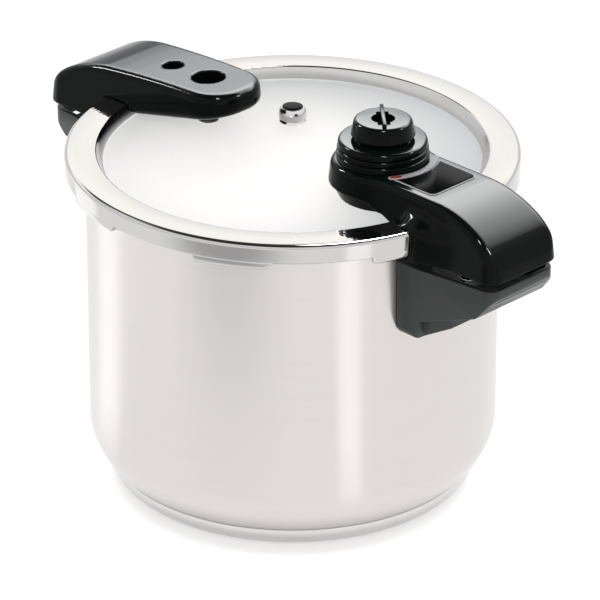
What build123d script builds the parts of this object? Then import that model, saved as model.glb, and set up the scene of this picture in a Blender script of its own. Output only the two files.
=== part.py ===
from build123d import *
import os
from math import asin, cos, degrees, pi, radians, sin, sqrt, tan

os.makedirs("parts", exist_ok=True)

# Stove-top pressure cooker, millimetres. The origin is on the pot's axis, on the table.
# +Z is up and +X runs along the long front handle.

# Fits shared by all pieces
running_gap = 0.3  # between faces that move past each other
shaft_gap = 0.08  # radial, round pins and hubs that turn or slide
screw_gap = 0.06  # radial, round screw shanks
seat_gap = 0.1  # between a handle and the sheet metal it sits on
bond_gap = 0.02  # between the layers of the base

# Pot shell
wall_radius = 117.0
pot_sheet = 1.0
corner_radius = 34.0
rim_height = 188.6
rim_bend = 3.0
rim_lip = 3.0

# Encapsulated base
cap_sheet = 0.7
core_thickness = 2.7
base_inset = 11.0
base_round = 11.0

# Bayonet lugs, eight on the pot rim and eight on the lid skirt
lug_count = 8
lug_centre = -14.5
pot_lug_span = 19.0
lid_lug_span = 21.5
pot_lug_reach = 8.5
pot_lug_thickness = 1.8
lug_drop = 0.5
lug_pass_gap = 1.2

# Lid pressing
lid_sheet = 1.2
skirt_gap = 2.1
skirt_drop = 9.7
rim_round = 2.0
lug_round = 2.2
step_inset = 6.0
step_run = 4.0
step_depth = 6.5
step_round = 2.2
dome_rise = 2.0

# Sealing ring
seal_height = 10.1
seal_width = 13.2
seal_lip = 2.6
seal_web = 4.2

# Regulator stack on the lid handle
regulator_inset = 46.5
collar_radius = 26.0
collar_height = 4.0
ring_radius = 25.5
ring_height = 3.4
flange_radius = 25.0
flange_height = 4.0
neck_radius = 15.8
neck_height = 2.0
knob_low_radius = 18.0
knob_top_radius = 16.5
knob_height = 9.5
knob_round = 2.5
knob_low_round = 0.8
bar_thickness = 2.3
bar_rise = 2.5
bar_angle = -42.0
slot_width = 7.0
slot_length = 18.0
well_radius = 6.7
well_depth = 4.5
hub_radius = 14.0
hub_bore = 9.0
clip_thickness = 1.2
clip_reach = 2.0

# Vent pipe and valve
pipe_radius = 5.0
pipe_bore = 2.0
pipe_flange_radius = 9.0
pipe_flange_height = 2.5
pipe_thread_length = 9.0
washer_thickness = 1.2
nut_across_flats = 16.0
nut_height = 4.5
nut_sides = 6
poppet_height = 5.0
poppet_tip = 2.5
poppet_radius = 7.0
valve_travel = 2.0
spring_wire = 0.9
spring_radius = 5.2
spring_turns = 4

# Long front handle, lid half
handle_top_rise = 17.0
handle_low_rise = -17.0
handle_bulb_radius = 32.4
handle_half_width = 28.0
handle_reach = 62.6
handle_crown_reach = 13.0
handle_knee_reach = 47.5
handle_knee_drop = 9.5
handle_nose_height = 2.5
handle_draft = 6.0
handle_corner = 9.0
handle_edge_round = 4.0
handle_wall = 3.5
handle_seam_rise = 3.0
handle_base_setback = 13.0
handle_base_inset = 2.0
handle_base_taper = 25.0
bulb_cavity = 21.5
grip_roof_drop = 3.2
grip_nose_wall = 9.0
grip_nose_rise = 10.5
flare_setback = 13.0
flare_start_half = 27.5
flare_half = 35.0
flare_blend = 6.0
flare_reach = 32.0
flare_shoulder_rise = 1.5
flare_draft = 3.0
flare_fade = 7.5
flare_fade_draft = 50.0
belly_slope = 0.999  # most downward lean of a face that counts as slanted
crown_slope = 0.12  # least upward lean of a face that counts as a handle's top

# Label and selector band
label_reach = 9.0
label_half_width = 18.0
label_corner = 4.0
label_frame_border = 0.9
label_frame_thickness = 0.4
label_panel_thickness = 0.3
band_inner_gap = 0.9
band_width = 4.0
band_from_angle = -36.0
band_to_angle = 43.0
band_thickness = 0.4
mark_sweep_angle = 9.0

# Screws
lid_screw_inset = 19.0
lid_screw_y = 14.0
lid_screw_radius = 2.0
lid_screw_head_radius = 4.0
lid_screw_head_height = 2.2
lid_screw_length = 14.0
grip_screw_radius = 2.0
grip_screw_head_radius = 4.0
grip_screw_head_height = 2.8
grip_screw_length = 8.0
grip_screw_y = 12.0

# Long front handle, pot half
tray_gap = 4.7
tray_reach = 61.0
tray_end_slope = 11.0
tray_end_height = 18.5
tray_end_flat = 5.0
tray_end_round = 7.0
tray_root_half_width = 32.0
tray_end_half_width = 25.5
tray_root_height = 33.0
tray_corner = 8.0
tray_wall = 3.0
tray_floor_depth = 9.0
foot_height = 44.5
foot_thickness = 9.0
foot_corner = 5.5
web_half_width = 23.0
web_reach = 29.0

# Handle brackets on the pot wall
bracket_sheet = 2.0
bracket_half_width = 17.0
bracket_drop = 26.0
bracket_screw_reach = 30.0

# Rear helper handle, lid half
wing_tip_inset = 56.0
wing_tip_radius = 26.5
wing_tip_flat = 2.0
wing_half_width = 30.0
wing_reach = 58.0
wing_top_rise = 22.0
wing_tip_thickness = 12.5
wing_crown_reach = 11.0
wing_crown_drop = 5.5
wing_knee_reach = 43.0
wing_knee_drop = 16.0
wing_draft = 5.0
wing_corner = 12.0
wing_edge_round = 4.5
wing_under_round = 6.0
wing_under_inset = 12.0
lock_inset = 49.0
lock_window_radius = 9.6
wing_screw_inset = 20.0
wing_screw_window = 6.1
wing_screw_radius = 2.5
wing_screw_head_height = 3.2
wing_screw_seat = 9.0
stud_radius = 5.0
stud_height = 3.6

# Rear helper handle, pot half
helper_reach = 55.0
helper_end_height = 15.0
helper_root_height = 26.0
helper_root_half_width = 29.0
helper_end_half_width = 26.0
helper_foot_height = 40.0
helper_web_reach = 29.0
helper_screw_reach = 28.0

# Overpressure plug
plug_inset = 71.9
plug_angle = 135.0
retainer_radius = 8.0
retainer_top_radius = 6.3
retainer_height = 9.4
retainer_spigot_radius = 5.6
plug_radius = 4.6
plug_head_radius = 5.6
plug_head_height = 1.6
plug_below = 4.0

# Cover lock under the wing's large window
lock_pin_radius = 2.2
lock_pin_head_radius = 4.2
lock_travel = 5.0
lock_pin_top = 14.0
lock_bush_radius = 5.0
lock_bush_flange = 6.0
lock_bush_height = 8.0
lock_seal_radius = 5.2
lock_seal_height = 2.4

# Cooking rack
rack_inset = 13.0
rack_sheet = 1.2
rack_stand = 18.0
rack_hole = 5.0
rack_rings = 4
rack_ring_step = 6
rack_foot_radius = 5.0
rack_foot_inset = 47.0
rack_foot_count = 4
rack_rest_gap = 0.2

# Distances from the pot's axis, all kept with the wall
step_radius = wall_radius - step_inset
base_radius = wall_radius - base_inset
regulator_x = wall_radius - regulator_inset
handle_end = wall_radius + handle_reach
handle_crown_end = wall_radius + handle_crown_reach
handle_knee_x = wall_radius + handle_knee_reach
handle_base_end = wall_radius - handle_base_setback
flare_start = wall_radius - flare_setback
flare_end = wall_radius + flare_reach
label_end = wall_radius + label_reach
lid_screw_x = wall_radius - lid_screw_inset
tray_end = wall_radius + tray_reach
web_end = wall_radius + web_reach
bracket_screw_x = wall_radius + bracket_screw_reach
wing_tip_centre = wall_radius - wing_tip_inset
wing_end = wall_radius + wing_reach
wing_crown_end = wall_radius + wing_crown_reach
wing_knee_x = wall_radius + wing_knee_reach
wing_under_x = wall_radius - wing_under_inset
lock_x = wall_radius - lock_inset
wing_screw_x = wall_radius - wing_screw_inset
helper_end = wall_radius + helper_reach
helper_web_end = wall_radius + helper_web_reach
helper_screw_x = wall_radius + helper_screw_reach
plug_radius_from_axis = wall_radius - plug_inset
rack_radius = wall_radius - rack_inset
rack_foot_circle = wall_radius - rack_foot_inset

# Heights worked out from the sizes above
shell_bottom = cap_sheet + core_thickness
shell_floor = shell_bottom + pot_sheet
seal_low = rim_height + running_gap
seal_high = seal_low + seal_height
lid_top = seal_high + running_gap + lid_sheet
lug_radius = wall_radius + pot_lug_reach
skirt_inner = lug_radius + skirt_gap
skirt_outer = skirt_inner + lid_sheet
lip_radius = wall_radius + rim_bend + rim_lip
lid_lug_inner = lip_radius + lug_pass_gap
lid_lug_top = rim_height - pot_lug_thickness - lug_drop
lid_lug_low = lid_lug_top - lid_sheet
skirt_low = lid_top - skirt_drop
disc_edge_radius = step_radius - step_run
disc_edge = lid_top - step_depth
disc_centre = disc_edge + dome_rise
dome_radius = (disc_edge_radius**2 + dome_rise**2) / (2 * dome_rise)

handle_top = lid_top + handle_top_rise
handle_low = lid_top + handle_low_rise
handle_seam = lid_top + handle_seam_rise
collar_top = handle_top + collar_height
ring_top = collar_top + ring_height
flange_low = ring_top + running_gap
flange_top = flange_low + flange_height
knob_low = flange_top + neck_height
knob_top = knob_low + knob_height
tray_top = handle_low - tray_gap
tray_floor = tray_top - tray_floor_depth
wing_top = lid_top + wing_top_rise

lug_pitch = 360.0 / lug_count
lug_angles = [lug_centre + lug_pitch * index for index in range(lug_count)]


def dome_height(radius, offset=0.0):
    """Height of the lid disc's upper face, or of a face offset from it, at a distance from the axis."""
    return disc_centre - dome_radius + sqrt((dome_radius + offset) ** 2 - radius**2)


def dome_arc(radius, offset):
    """Arc of the disc's dome, or of a face offset from it, from the axis out to a radius."""
    sphere = dome_radius + offset
    return CenterArc((0, disc_centre - dome_radius), sphere, 90, -degrees(asin(radius / sphere)))


def radial_plane(angle):
    """Upright plane through the pot's axis, its own x pointing outwards at the angle."""
    turn = radians(angle)
    return Plane(origin=(0, 0, 0), x_dir=(cos(turn), sin(turn), 0), z_dir=(sin(turn), -cos(turn), 0))


def upright_plane(x, y=0.0):
    """Upright plane parallel to XZ whose own y axis is the vertical line at x, y."""
    return Plane(origin=(x, y, 0), x_dir=(1, 0, 0), z_dir=(0, -1, 0))


def upright_axis(x, y=0.0):
    """Vertical axis at x, y."""
    return Axis((x, y, 0), (0, 0, 1))


def keep(piece, name):
    """Label a finished piece and write it under its own name."""
    piece.part.label = name
    export_step(piece.part, f"parts/{name}.step")


def edge_key(edge):
    """Place and length of an edge, to tell when two faces share it."""
    middle = edge.center()
    return (round(middle.X, 3), round(middle.Y, 3), round(middle.Z, 3), round(edge.length, 3))


def crown_edges(piece, low):
    """Edges that bound the upward faces of a handle, above the given height."""
    shared = {}
    for face in piece.faces():
        if face.normal_at().Z > crown_slope and face.center().Z > low:
            for edge in face.edges():
                shared.setdefault(edge_key(edge), []).append(edge)
    return [edges[0] for edges in shared.values() if len(edges) == 1]


# Pot shell: flat bottom, round corner, straight wall, turned-out rim with eight lugs
with BuildPart() as pot_shell:
    with BuildSketch(Plane.XZ) as pot_section:
        with BuildLine():
            corner_x = wall_radius - corner_radius
            corner_z = shell_bottom + corner_radius
            bend_x = wall_radius + rim_bend
            bend_z = rim_height - pot_sheet - rim_bend
            inner_radius = wall_radius - pot_sheet
            Line((0, shell_bottom), (corner_x, shell_bottom))
            CenterArc((corner_x, corner_z), corner_radius, 270, 90)
            Line((wall_radius, corner_z), (wall_radius, bend_z))
            CenterArc((bend_x, bend_z), rim_bend, 180, -90)
            Polyline(
                (bend_x, rim_height - pot_sheet),
                (lip_radius - rim_lip / 2, rim_height - pot_sheet),
                (lip_radius - rim_lip / 2, rim_height - pot_lug_thickness),
                (lug_radius, rim_height - pot_lug_thickness),
                (lug_radius, rim_height),
                (bend_x, rim_height),
            )
            CenterArc((bend_x, bend_z), rim_bend + pot_sheet, 90, 90)
            Line((inner_radius, bend_z), (inner_radius, corner_z))
            CenterArc((corner_x, corner_z), corner_radius - pot_sheet, 0, -90)
            Line((corner_x, shell_floor), (0, shell_floor))
            Line((0, shell_floor), (0, shell_bottom))
        make_face()
    revolve(axis=Axis.Z)
    for angle in lug_angles:
        with BuildSketch(radial_plane(angle + pot_lug_span / 2)):
            with Locations((lip_radius, rim_height)):
                Rectangle(2 * pot_lug_reach, 4 * pot_lug_thickness, align=(Align.MIN, Align.CENTER))
        revolve(axis=Axis.Z, revolution_arc=lug_pitch - pot_lug_span, mode=Mode.SUBTRACT)
keep(pot_shell, "pot_shell")


def base_outline(inset):
    """Half section of the base's rounded cup, drawn in from its outside by the inset."""
    flat = base_radius - base_round
    high = base_round + corner_radius
    with BuildSketch(Plane.XZ) as section:
        with BuildLine():
            Line((0, inset), (flat, inset))
            CenterArc((flat, base_round), base_round - inset, 270, 90)
            Polyline((base_radius - inset, base_round), (base_radius - inset, high), (0, high), (0, inset))
        make_face()
    return section.sketch


def pot_underside(gap):
    """Half section filling the pot's corner and all that is above it, grown by the gap."""
    reach = wall_radius + corner_radius
    low = shell_bottom - gap
    middle = shell_bottom + corner_radius
    high = middle + corner_radius
    with BuildSketch(Plane.XZ) as section:
        with BuildLine():
            Line((0, low), (wall_radius - corner_radius, low))
            CenterArc((wall_radius - corner_radius, middle), corner_radius + gap, 270, 90)
            Polyline((wall_radius + gap, middle), (reach, middle), (reach, high), (0, high), (0, low))
        make_face()
    return section.sketch


# Base cap: steel cup under the pot, closing on the pot's corner
with BuildPart() as base_cap:
    revolve(base_outline(0), axis=Axis.Z)
    revolve(base_outline(cap_sheet), axis=Axis.Z, mode=Mode.SUBTRACT)
    revolve(pot_underside(bond_gap), axis=Axis.Z, mode=Mode.SUBTRACT)
keep(base_cap, "base_cap")

# Base core: aluminium disc that fills the cap
with BuildPart() as base_core:
    revolve(base_outline(cap_sheet + bond_gap), axis=Axis.Z)
    revolve(pot_underside(bond_gap), axis=Axis.Z, mode=Mode.SUBTRACT)
keep(base_core, "base_core")


def bracket(side, screw_x):
    """Wall plate and tongue of a handle bracket, on the +X or the -X side of the pot."""
    outer = wall_radius + bond_gap + bracket_sheet
    tongue_end = screw_x + 2 * grip_screw_head_radius
    with BuildPart() as plate:
        with BuildSketch(Plane.XY.offset(tray_floor - bracket_drop)):
            Circle(outer)
            Circle(wall_radius + bond_gap, mode=Mode.SUBTRACT)
            with Locations((side * outer, 0)):
                Rectangle(outer, 2 * bracket_half_width, mode=Mode.INTERSECT)
        extrude(amount=bracket_drop + bracket_sheet)
        with BuildSketch(Plane.XY.offset(tray_floor)):
            with Locations((side * (wall_radius + tongue_end) / 2, 0)):
                Rectangle(tongue_end - wall_radius, 2 * bracket_half_width)
            Circle(wall_radius + bond_gap, mode=Mode.SUBTRACT)
        extrude(amount=bracket_sheet)
        with Locations(
            (side * screw_x, grip_screw_y, tray_floor),
            (side * screw_x, -grip_screw_y, tray_floor),
        ):
            Cylinder(grip_screw_radius + screw_gap, 4 * bracket_sheet, mode=Mode.SUBTRACT)
    return plate.part


def tray(side, end, slope, end_height, root_height, root_width, end_width, foot, web, screw_x):
    """Open-topped lower handle half: walled grip, foot on the pot wall and web beneath."""
    wall_face = wall_radius + seat_gap
    root_low = tray_top - root_height
    end_low = tray_top - end_height
    foot_low = tray_top - foot
    foot_face = wall_radius + foot_thickness
    with BuildPart() as grip:
        with BuildSketch(Plane.XY.offset(foot_low)):
            with BuildLine():
                Polyline(
                    (wall_radius / 2, -root_width),
                    (foot_face, -root_width),
                    (end, -end_width),
                    (end, end_width),
                    (foot_face, root_width),
                    (wall_radius / 2, root_width),
                    close=True,
                )
            make_face()
            fillet(vertices().group_by(Axis.X)[-1], tray_corner)
        extrude(amount=foot)
        with BuildSketch(Plane.XZ):
            with BuildLine():
                Polyline(
                    (wall_radius / 2, tray_top),
                    (end, tray_top),
                    (end, tray_top - tray_end_flat),
                    (end - slope, end_low),
                    (foot_face, root_low),
                    (foot_face, foot_low),
                    (wall_radius / 2, foot_low),
                    close=True,
                )
            make_face()
            for corner in ((end, tray_top - tray_end_flat), (end - slope, end_low)):
                fillet(vertices().sort_by_distance(corner)[0], tray_end_round)
        extrude(amount=2 * root_width, both=True, mode=Mode.INTERSECT)
        with BuildSketch(Plane.XZ):
            with BuildLine():
                Polyline(
                    (wall_radius, tray_floor),
                    (web, tray_floor),
                    (web, root_low),
                    (foot_face, foot_low),
                    (wall_radius, foot_low),
                    close=True,
                )
            make_face()
        extrude(amount=web_half_width, both=True)
        foot_edges = edges().filter_by(Axis.X).group_by(Axis.Z)[0]
        fillet(foot_edges, foot_corner)
        with BuildSketch(Plane.XY.offset(tray_top)):
            with BuildLine():
                Polyline(
                    (foot_face, -root_width + tray_wall),
                    (end - tray_wall, -end_width + tray_wall),
                    (end - tray_wall, end_width - tray_wall),
                    (foot_face, root_width - tray_wall),
                    close=True,
                )
            make_face()
            fillet(vertices().group_by(Axis.X)[-1], tray_corner - tray_wall)
        extrude(amount=-tray_floor_depth, mode=Mode.SUBTRACT)
        with BuildSketch(Plane.XY.offset(foot_low)):
            Circle(wall_face)
        extrude(amount=foot, mode=Mode.SUBTRACT)
        with BuildSketch(Plane.XY.offset(tray_floor - bracket_drop - seat_gap)):
            Circle(wall_face + bracket_sheet + seat_gap)
            with Locations((wall_radius, 0)):
                Rectangle(wall_radius, 2 * bracket_half_width + 2 * seat_gap, mode=Mode.INTERSECT)
        extrude(amount=bracket_drop + seat_gap + bracket_sheet, mode=Mode.SUBTRACT)
        with BuildSketch(Plane.XY.offset(tray_floor)):
            with Locations((wall_radius, 0)):
                Rectangle(2 * foot_thickness, 2 * bracket_half_width + 2 * seat_gap)
        extrude(amount=tray_floor_depth, mode=Mode.SUBTRACT)
        with Locations((screw_x, grip_screw_y, tray_floor), (screw_x, -grip_screw_y, tray_floor)):
            Cylinder(
                grip_screw_radius + screw_gap,
                2 * (grip_screw_length - bracket_sheet + seat_gap),
                mode=Mode.SUBTRACT,
            )
    if side < 0:
        return grip.part.mirror(Plane.YZ)
    return grip.part


def tray_screws(side, screw_x):
    """Two round-headed screws through a bracket's tongue into the tray's floor."""
    seat = tray_floor + bracket_sheet
    with BuildPart() as pair:
        with Locations((side * screw_x, grip_screw_y, seat), (side * screw_x, -grip_screw_y, seat)):
            Cylinder(
                grip_screw_head_radius, grip_screw_head_height, align=(Align.CENTER, Align.CENTER, Align.MIN)
            )
            Cylinder(grip_screw_radius, grip_screw_length, align=(Align.CENTER, Align.CENTER, Align.MAX))
        fillet(edges().filter_by(GeomType.CIRCLE).group_by(Axis.Z)[-1], grip_screw_head_height / 2)
        with Locations(
            (side * screw_x, grip_screw_y, seat + grip_screw_head_height),
            (side * screw_x, -grip_screw_y, seat + grip_screw_head_height),
        ):
            Box(grip_screw_head_radius, grip_screw_radius / 2, grip_screw_head_height, mode=Mode.SUBTRACT)
            Box(grip_screw_radius / 2, grip_screw_head_radius, grip_screw_head_height, mode=Mode.SUBTRACT)
    return pair.part


# Lower front handle, its bracket and screws
with BuildPart() as pot_handle_bracket:
    add(bracket(1, bracket_screw_x))
keep(pot_handle_bracket, "pot_handle_bracket")

with BuildPart() as pot_handle:
    add(
        tray(
            1, tray_end, tray_end_slope, tray_end_height, tray_root_height,
            tray_root_half_width, tray_end_half_width, foot_height, web_end, bracket_screw_x,
        )
    )
keep(pot_handle, "pot_handle")

with BuildPart() as pot_handle_screws:
    add(tray_screws(1, bracket_screw_x))
keep(pot_handle_screws, "pot_handle_screws")

# Lower rear helper handle, its bracket and screws
with BuildPart() as pot_helper_bracket:
    add(bracket(-1, helper_screw_x))
keep(pot_helper_bracket, "pot_helper_bracket")

with BuildPart() as pot_helper_handle:
    add(
        tray(
            -1, helper_end, tray_end_slope, helper_end_height, helper_root_height,
            helper_root_half_width, helper_end_half_width, helper_foot_height, helper_web_end, helper_screw_x,
        )
    )
keep(pot_helper_handle, "pot_helper_handle")

with BuildPart() as pot_helper_screws:
    add(tray_screws(-1, helper_screw_x))
keep(pot_helper_screws, "pot_helper_screws")

# Cooking rack: perforated tray on short feet, loose in the pot
with BuildPart() as cooking_rack:
    rack_low = shell_floor + rack_rest_gap
    with BuildSketch(Plane.XY.offset(rack_low + rack_stand)):
        Circle(rack_radius)
        for ring in range(1, rack_rings + 1):
            with PolarLocations(ring * rack_radius / (rack_rings + 1), rack_ring_step * ring):
                Circle(rack_hole, mode=Mode.SUBTRACT)
    extrude(amount=rack_sheet)
    with BuildSketch(Plane.XY.offset(rack_low)):
        with PolarLocations(rack_foot_circle, rack_foot_count, start_angle=lug_pitch):
            Circle(rack_foot_radius)
    extrude(amount=rack_stand)
    fillet(edges().filter_by(GeomType.CIRCLE).group_by(Axis.Z)[0], rack_sheet)
keep(cooking_rack, "cooking_rack")

# Sealing ring: rubber channel, open to the inside, between pot rim and lid
with BuildPart() as sealing_ring:
    with BuildSketch(Plane.XZ):
        with BuildLine():
            seal_outer = skirt_inner - running_gap
            seal_inner = seal_outer - seal_width
            Polyline(
                (seal_inner, seal_high),
                (seal_outer, seal_high),
                (seal_outer, seal_low),
                (wall_radius, seal_low),
                (wall_radius, seal_low + seal_lip / 2),
                (seal_outer - seal_web, seal_low + seal_lip),
                (seal_outer - seal_web, seal_high - seal_lip),
                (seal_inner, seal_high - seal_lip / 2),
                close=True,
            )
        make_face()
    revolve(axis=Axis.Z)
keep(sealing_ring, "sealing_ring")

# Lid pressing: domed disc, step, flat rim, skirt and eight turned-in lugs
plug_x = plug_radius_from_axis * cos(radians(plug_angle))
plug_y = plug_radius_from_axis * sin(radians(plug_angle))
lid_screw_places = [(lid_screw_x, lid_screw_y), (lid_screw_x, -lid_screw_y)]
wall_lean = step_depth / sqrt(step_depth**2 + step_run**2)
wall_shift = lid_sheet * (1 / wall_lean - step_run / step_depth)
with BuildPart() as lid_shell:
    with BuildSketch(Plane.XZ) as lid_section:
        with BuildLine():
            disc_in_radius = disc_edge_radius + wall_shift
            disc_in = (disc_in_radius, dome_height(disc_in_radius, -lid_sheet))
            rim_in = (step_radius + wall_shift, lid_top - lid_sheet)
            upper_face = dome_arc(disc_edge_radius, 0)
            lower_face = dome_arc(disc_in_radius, -lid_sheet)
            Polyline(
                upper_face @ 1,
                (step_radius, lid_top),
                (skirt_outer, lid_top),
                (skirt_outer, lid_lug_low),
                (lid_lug_inner, lid_lug_low),
                (lid_lug_inner, lid_lug_top),
                (skirt_inner, lid_lug_top),
                (skirt_inner, lid_top - lid_sheet),
                rim_in,
                lower_face @ 1,
            )
            Line(lower_face @ 0, upper_face @ 0)
        make_face()
        for corner, radius in (
            ((disc_edge_radius, disc_edge), step_round),
            ((step_radius, lid_top), step_round),
            ((skirt_outer, lid_top), rim_round),
            ((skirt_inner, lid_top - lid_sheet), rim_round - lid_sheet),
            ((skirt_outer, lid_lug_low), lug_round),
            ((skirt_inner, lid_lug_top), lug_round - lid_sheet),
            (rim_in, step_round),
            (disc_in, step_round),
        ):
            fillet(lid_section.vertices().sort_by_distance(corner)[0], radius)
    revolve(axis=Axis.Z)
    for angle in lug_angles:
        with BuildSketch(radial_plane(angle + lid_lug_span / 2)):
            with Locations((lid_lug_inner - lug_pass_gap, skirt_low)):
                Rectangle(2 * pot_lug_reach, 2 * skirt_drop, align=(Align.MIN, Align.MAX))
        revolve(axis=Axis.Z, revolution_arc=lug_pitch - lid_lug_span, mode=Mode.SUBTRACT)
    hole_depth = 8 * step_depth
    with Locations((regulator_x, 0, lid_top)):
        Cylinder(pipe_radius + screw_gap, hole_depth, mode=Mode.SUBTRACT)
    with Locations((plug_x, plug_y, lid_top)):
        Cylinder(retainer_spigot_radius + screw_gap, hole_depth, mode=Mode.SUBTRACT)
    with Locations((-lock_x, 0, lid_top)):
        Cylinder(lock_bush_radius + screw_gap, hole_depth, mode=Mode.SUBTRACT)
    with Locations([(x, y, lid_top) for x, y in lid_screw_places]):
        Cylinder(lid_screw_radius + screw_gap, hole_depth, mode=Mode.SUBTRACT)
keep(lid_shell, "lid_shell")


def lid_envelope(gap):
    """Half section of all that lies under the lid's upper face and inside its skirt."""
    with BuildSketch(Plane.XZ) as section:
        with BuildLine():
            upper_face = dome_arc(disc_edge_radius - gap, gap)
            Polyline(
                upper_face @ 1,
                (step_radius - gap, lid_top + gap),
                (skirt_outer + gap, lid_top + gap),
                (skirt_outer + gap, handle_low - lid_sheet),
                (0, handle_low - lid_sheet),
                upper_face @ 0,
            )
        make_face()
        for corner, radius in (
            ((skirt_outer, lid_top), rim_round),
            ((step_radius, lid_top), step_round),
            ((disc_edge_radius, disc_edge), step_round),
        ):
            fillet(section.vertices().sort_by_distance(corner)[0], radius)
    return section.sketch


def flare_outline():
    """Plan of the handle's wider root, where it straddles the lid's rim and skirt."""
    with BuildSketch() as outline:
        with BuildLine():
            flare = Polyline(
                (flare_start, -flare_start_half),
                (skirt_outer - 2 * flare_blend, -flare_half),
                (skirt_outer, -flare_half),
                (skirt_outer + flare_blend, flare_blend / 2 - flare_half),
                (flare_end, -handle_half_width),
            )
            mirror(flare, about=Plane.XZ)
            Line((flare_start, flare_start_half), (flare_start, -flare_start_half))
            Line((flare_end, handle_half_width), (flare_end, -handle_half_width))
        make_face()
    return outline.sketch


def front_handle_block():
    """Outside form of the lid's front handle: round bulb and arched bar with drafted sides."""
    height = handle_top - handle_low
    with BuildPart() as block:
        with BuildSketch(Plane.XY.offset(handle_low)) as outline:
            with Locations((regulator_x, 0)):
                Circle(handle_bulb_radius)
            with Locations(((regulator_x + handle_end) / 2, 0)):
                Rectangle(handle_end - regulator_x, 2 * handle_half_width)
            fillet(outline.vertices().group_by(Axis.X)[-1], handle_corner)
            fillet(outline.vertices().group_by(Axis.X)[0], handle_bulb_radius)
        extrude(amount=height, taper=handle_draft)
        with BuildSketch(Plane.XZ):
            with BuildLine():
                crown = Line((0, handle_top), (handle_crown_end, handle_top))
                knee = TangentArc(crown @ 1, (handle_knee_x, handle_top - handle_knee_drop), tangent=crown % 1)
                nose = TangentArc(knee @ 1, (handle_end, handle_low + handle_nose_height), tangent=knee % 1)
                Polyline(nose @ 1, (handle_end, handle_low), (0, handle_low), crown @ 0)
            make_face()
        extrude(amount=2 * handle_half_width, both=True, mode=Mode.INTERSECT)
        fillet(crown_edges(block, handle_low + handle_nose_height), handle_edge_round)
        shoulder = lid_top + flare_shoulder_rise - handle_low
        with BuildSketch(Plane.XY.offset(handle_low)):
            add(flare_outline())
        extrude(amount=shoulder, taper=flare_draft)
        with BuildSketch(Plane.XY.offset(handle_low + shoulder)):
            add(flare_outline())
            offset(amount=-shoulder * tan(radians(flare_draft)), kind=Kind.INTERSECTION, mode=Mode.REPLACE)
        extrude(amount=flare_fade, taper=flare_fade_draft)
    return block.part


front_block = front_handle_block()
cavity_roof = handle_top - 2 * handle_wall

# Upper front handle: moulded shell, hollow over the lid and in the grip
with BuildPart() as lid_handle:
    add(front_block)
    revolve(lid_envelope(seat_gap), axis=Axis.Z, mode=Mode.SUBTRACT)
    with BuildSketch(Plane.XY.offset(handle_low)):
        with Locations((handle_base_end, 0)):
            Rectangle(2 * handle_base_end, 4 * handle_half_width, align=(Align.MAX, Align.CENTER))
    extrude(amount=handle_seam - handle_low, mode=Mode.SUBTRACT)
    with BuildSketch(Plane.XY.offset(handle_seam)):
        with Locations((regulator_x, 0)):
            Circle(bulb_cavity)
    extrude(amount=cavity_roof - handle_seam, mode=Mode.SUBTRACT)
    with BuildSketch(Plane.XY.offset(handle_seam)):
        with Locations((regulator_x, 0)):
            Circle(hub_radius + shaft_gap)
    extrude(amount=handle_top - handle_seam, mode=Mode.SUBTRACT)
    with BuildSketch(Plane.XZ):
        with BuildLine():
            grip_start = skirt_outer + 2 * handle_wall
            Polyline(
                (grip_start, handle_low),
                (grip_start, handle_top - handle_wall - grip_roof_drop),
                (handle_knee_x - 2 * handle_wall, handle_top - handle_knee_drop - handle_wall),
                (handle_end - grip_nose_wall, handle_low + grip_nose_rise),
                (handle_end - 2 * handle_wall, handle_low),
                close=True,
            )
        make_face()
    grip_half = handle_half_width - handle_wall - (handle_top - handle_low) * tan(radians(handle_draft))
    extrude(amount=grip_half, both=True, mode=Mode.SUBTRACT)
    with Locations([(x, y, dome_height(lid_screw_x)) for x, y in lid_screw_places]):
        Cylinder(lid_screw_radius + screw_gap, 2 * lid_screw_length, mode=Mode.SUBTRACT)
keep(lid_handle, "lid_handle")

# Handle base: lower collar of the handle, seated on the lid disc under the bulb
with BuildPart() as lid_handle_base:
    seam_inset = (handle_seam - handle_low) * tan(radians(handle_draft)) + handle_base_inset
    with BuildSketch(Plane(origin=(0, 0, handle_seam - seat_gap), x_dir=(1, 0, 0), z_dir=(0, 0, -1))):
        with Locations((regulator_x, 0)):
            Circle(handle_bulb_radius - seam_inset)
            Rectangle(
                handle_end - regulator_x,
                2 * (handle_half_width - seam_inset),
                align=(Align.MIN, Align.CENTER),
            )
    extrude(amount=handle_seam - handle_low, taper=handle_base_taper)
    revolve(lid_envelope(seat_gap), axis=Axis.Z, mode=Mode.SUBTRACT)
    with BuildSketch(Plane.XY.offset(handle_low)):
        with Locations((handle_base_end - seat_gap, 0)):
            Rectangle(2 * handle_base_end, 4 * handle_half_width, align=(Align.MAX, Align.CENTER))
    extrude(amount=handle_seam - handle_low, mode=Mode.INTERSECT)
    with BuildSketch(Plane.XY.offset(handle_low)):
        with Locations((regulator_x, 0)):
            Circle(bulb_cavity)
    extrude(amount=handle_seam - handle_low, mode=Mode.SUBTRACT)
    with Locations([(x, y, handle_low) for x, y in lid_screw_places]):
        Cylinder(lid_screw_radius + screw_gap, 2 * (handle_seam - handle_low), mode=Mode.SUBTRACT)
keep(lid_handle_base, "lid_handle_base")

# Screws and sealing washers that hold the handle from inside the lid
screw_edge = sqrt(lid_screw_x**2 + lid_screw_y**2) + lid_screw_head_radius
screw_face = dome_height(screw_edge, -lid_sheet) - seat_gap
with BuildPart() as lid_handle_washers:
    with BuildSketch(Plane.XY.offset(screw_face - washer_thickness)):
        with Locations(lid_screw_places):
            Circle(lid_screw_head_radius)
            Circle(lid_screw_radius + screw_gap, mode=Mode.SUBTRACT)
    extrude(amount=washer_thickness)
keep(lid_handle_washers, "lid_handle_washers")

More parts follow.
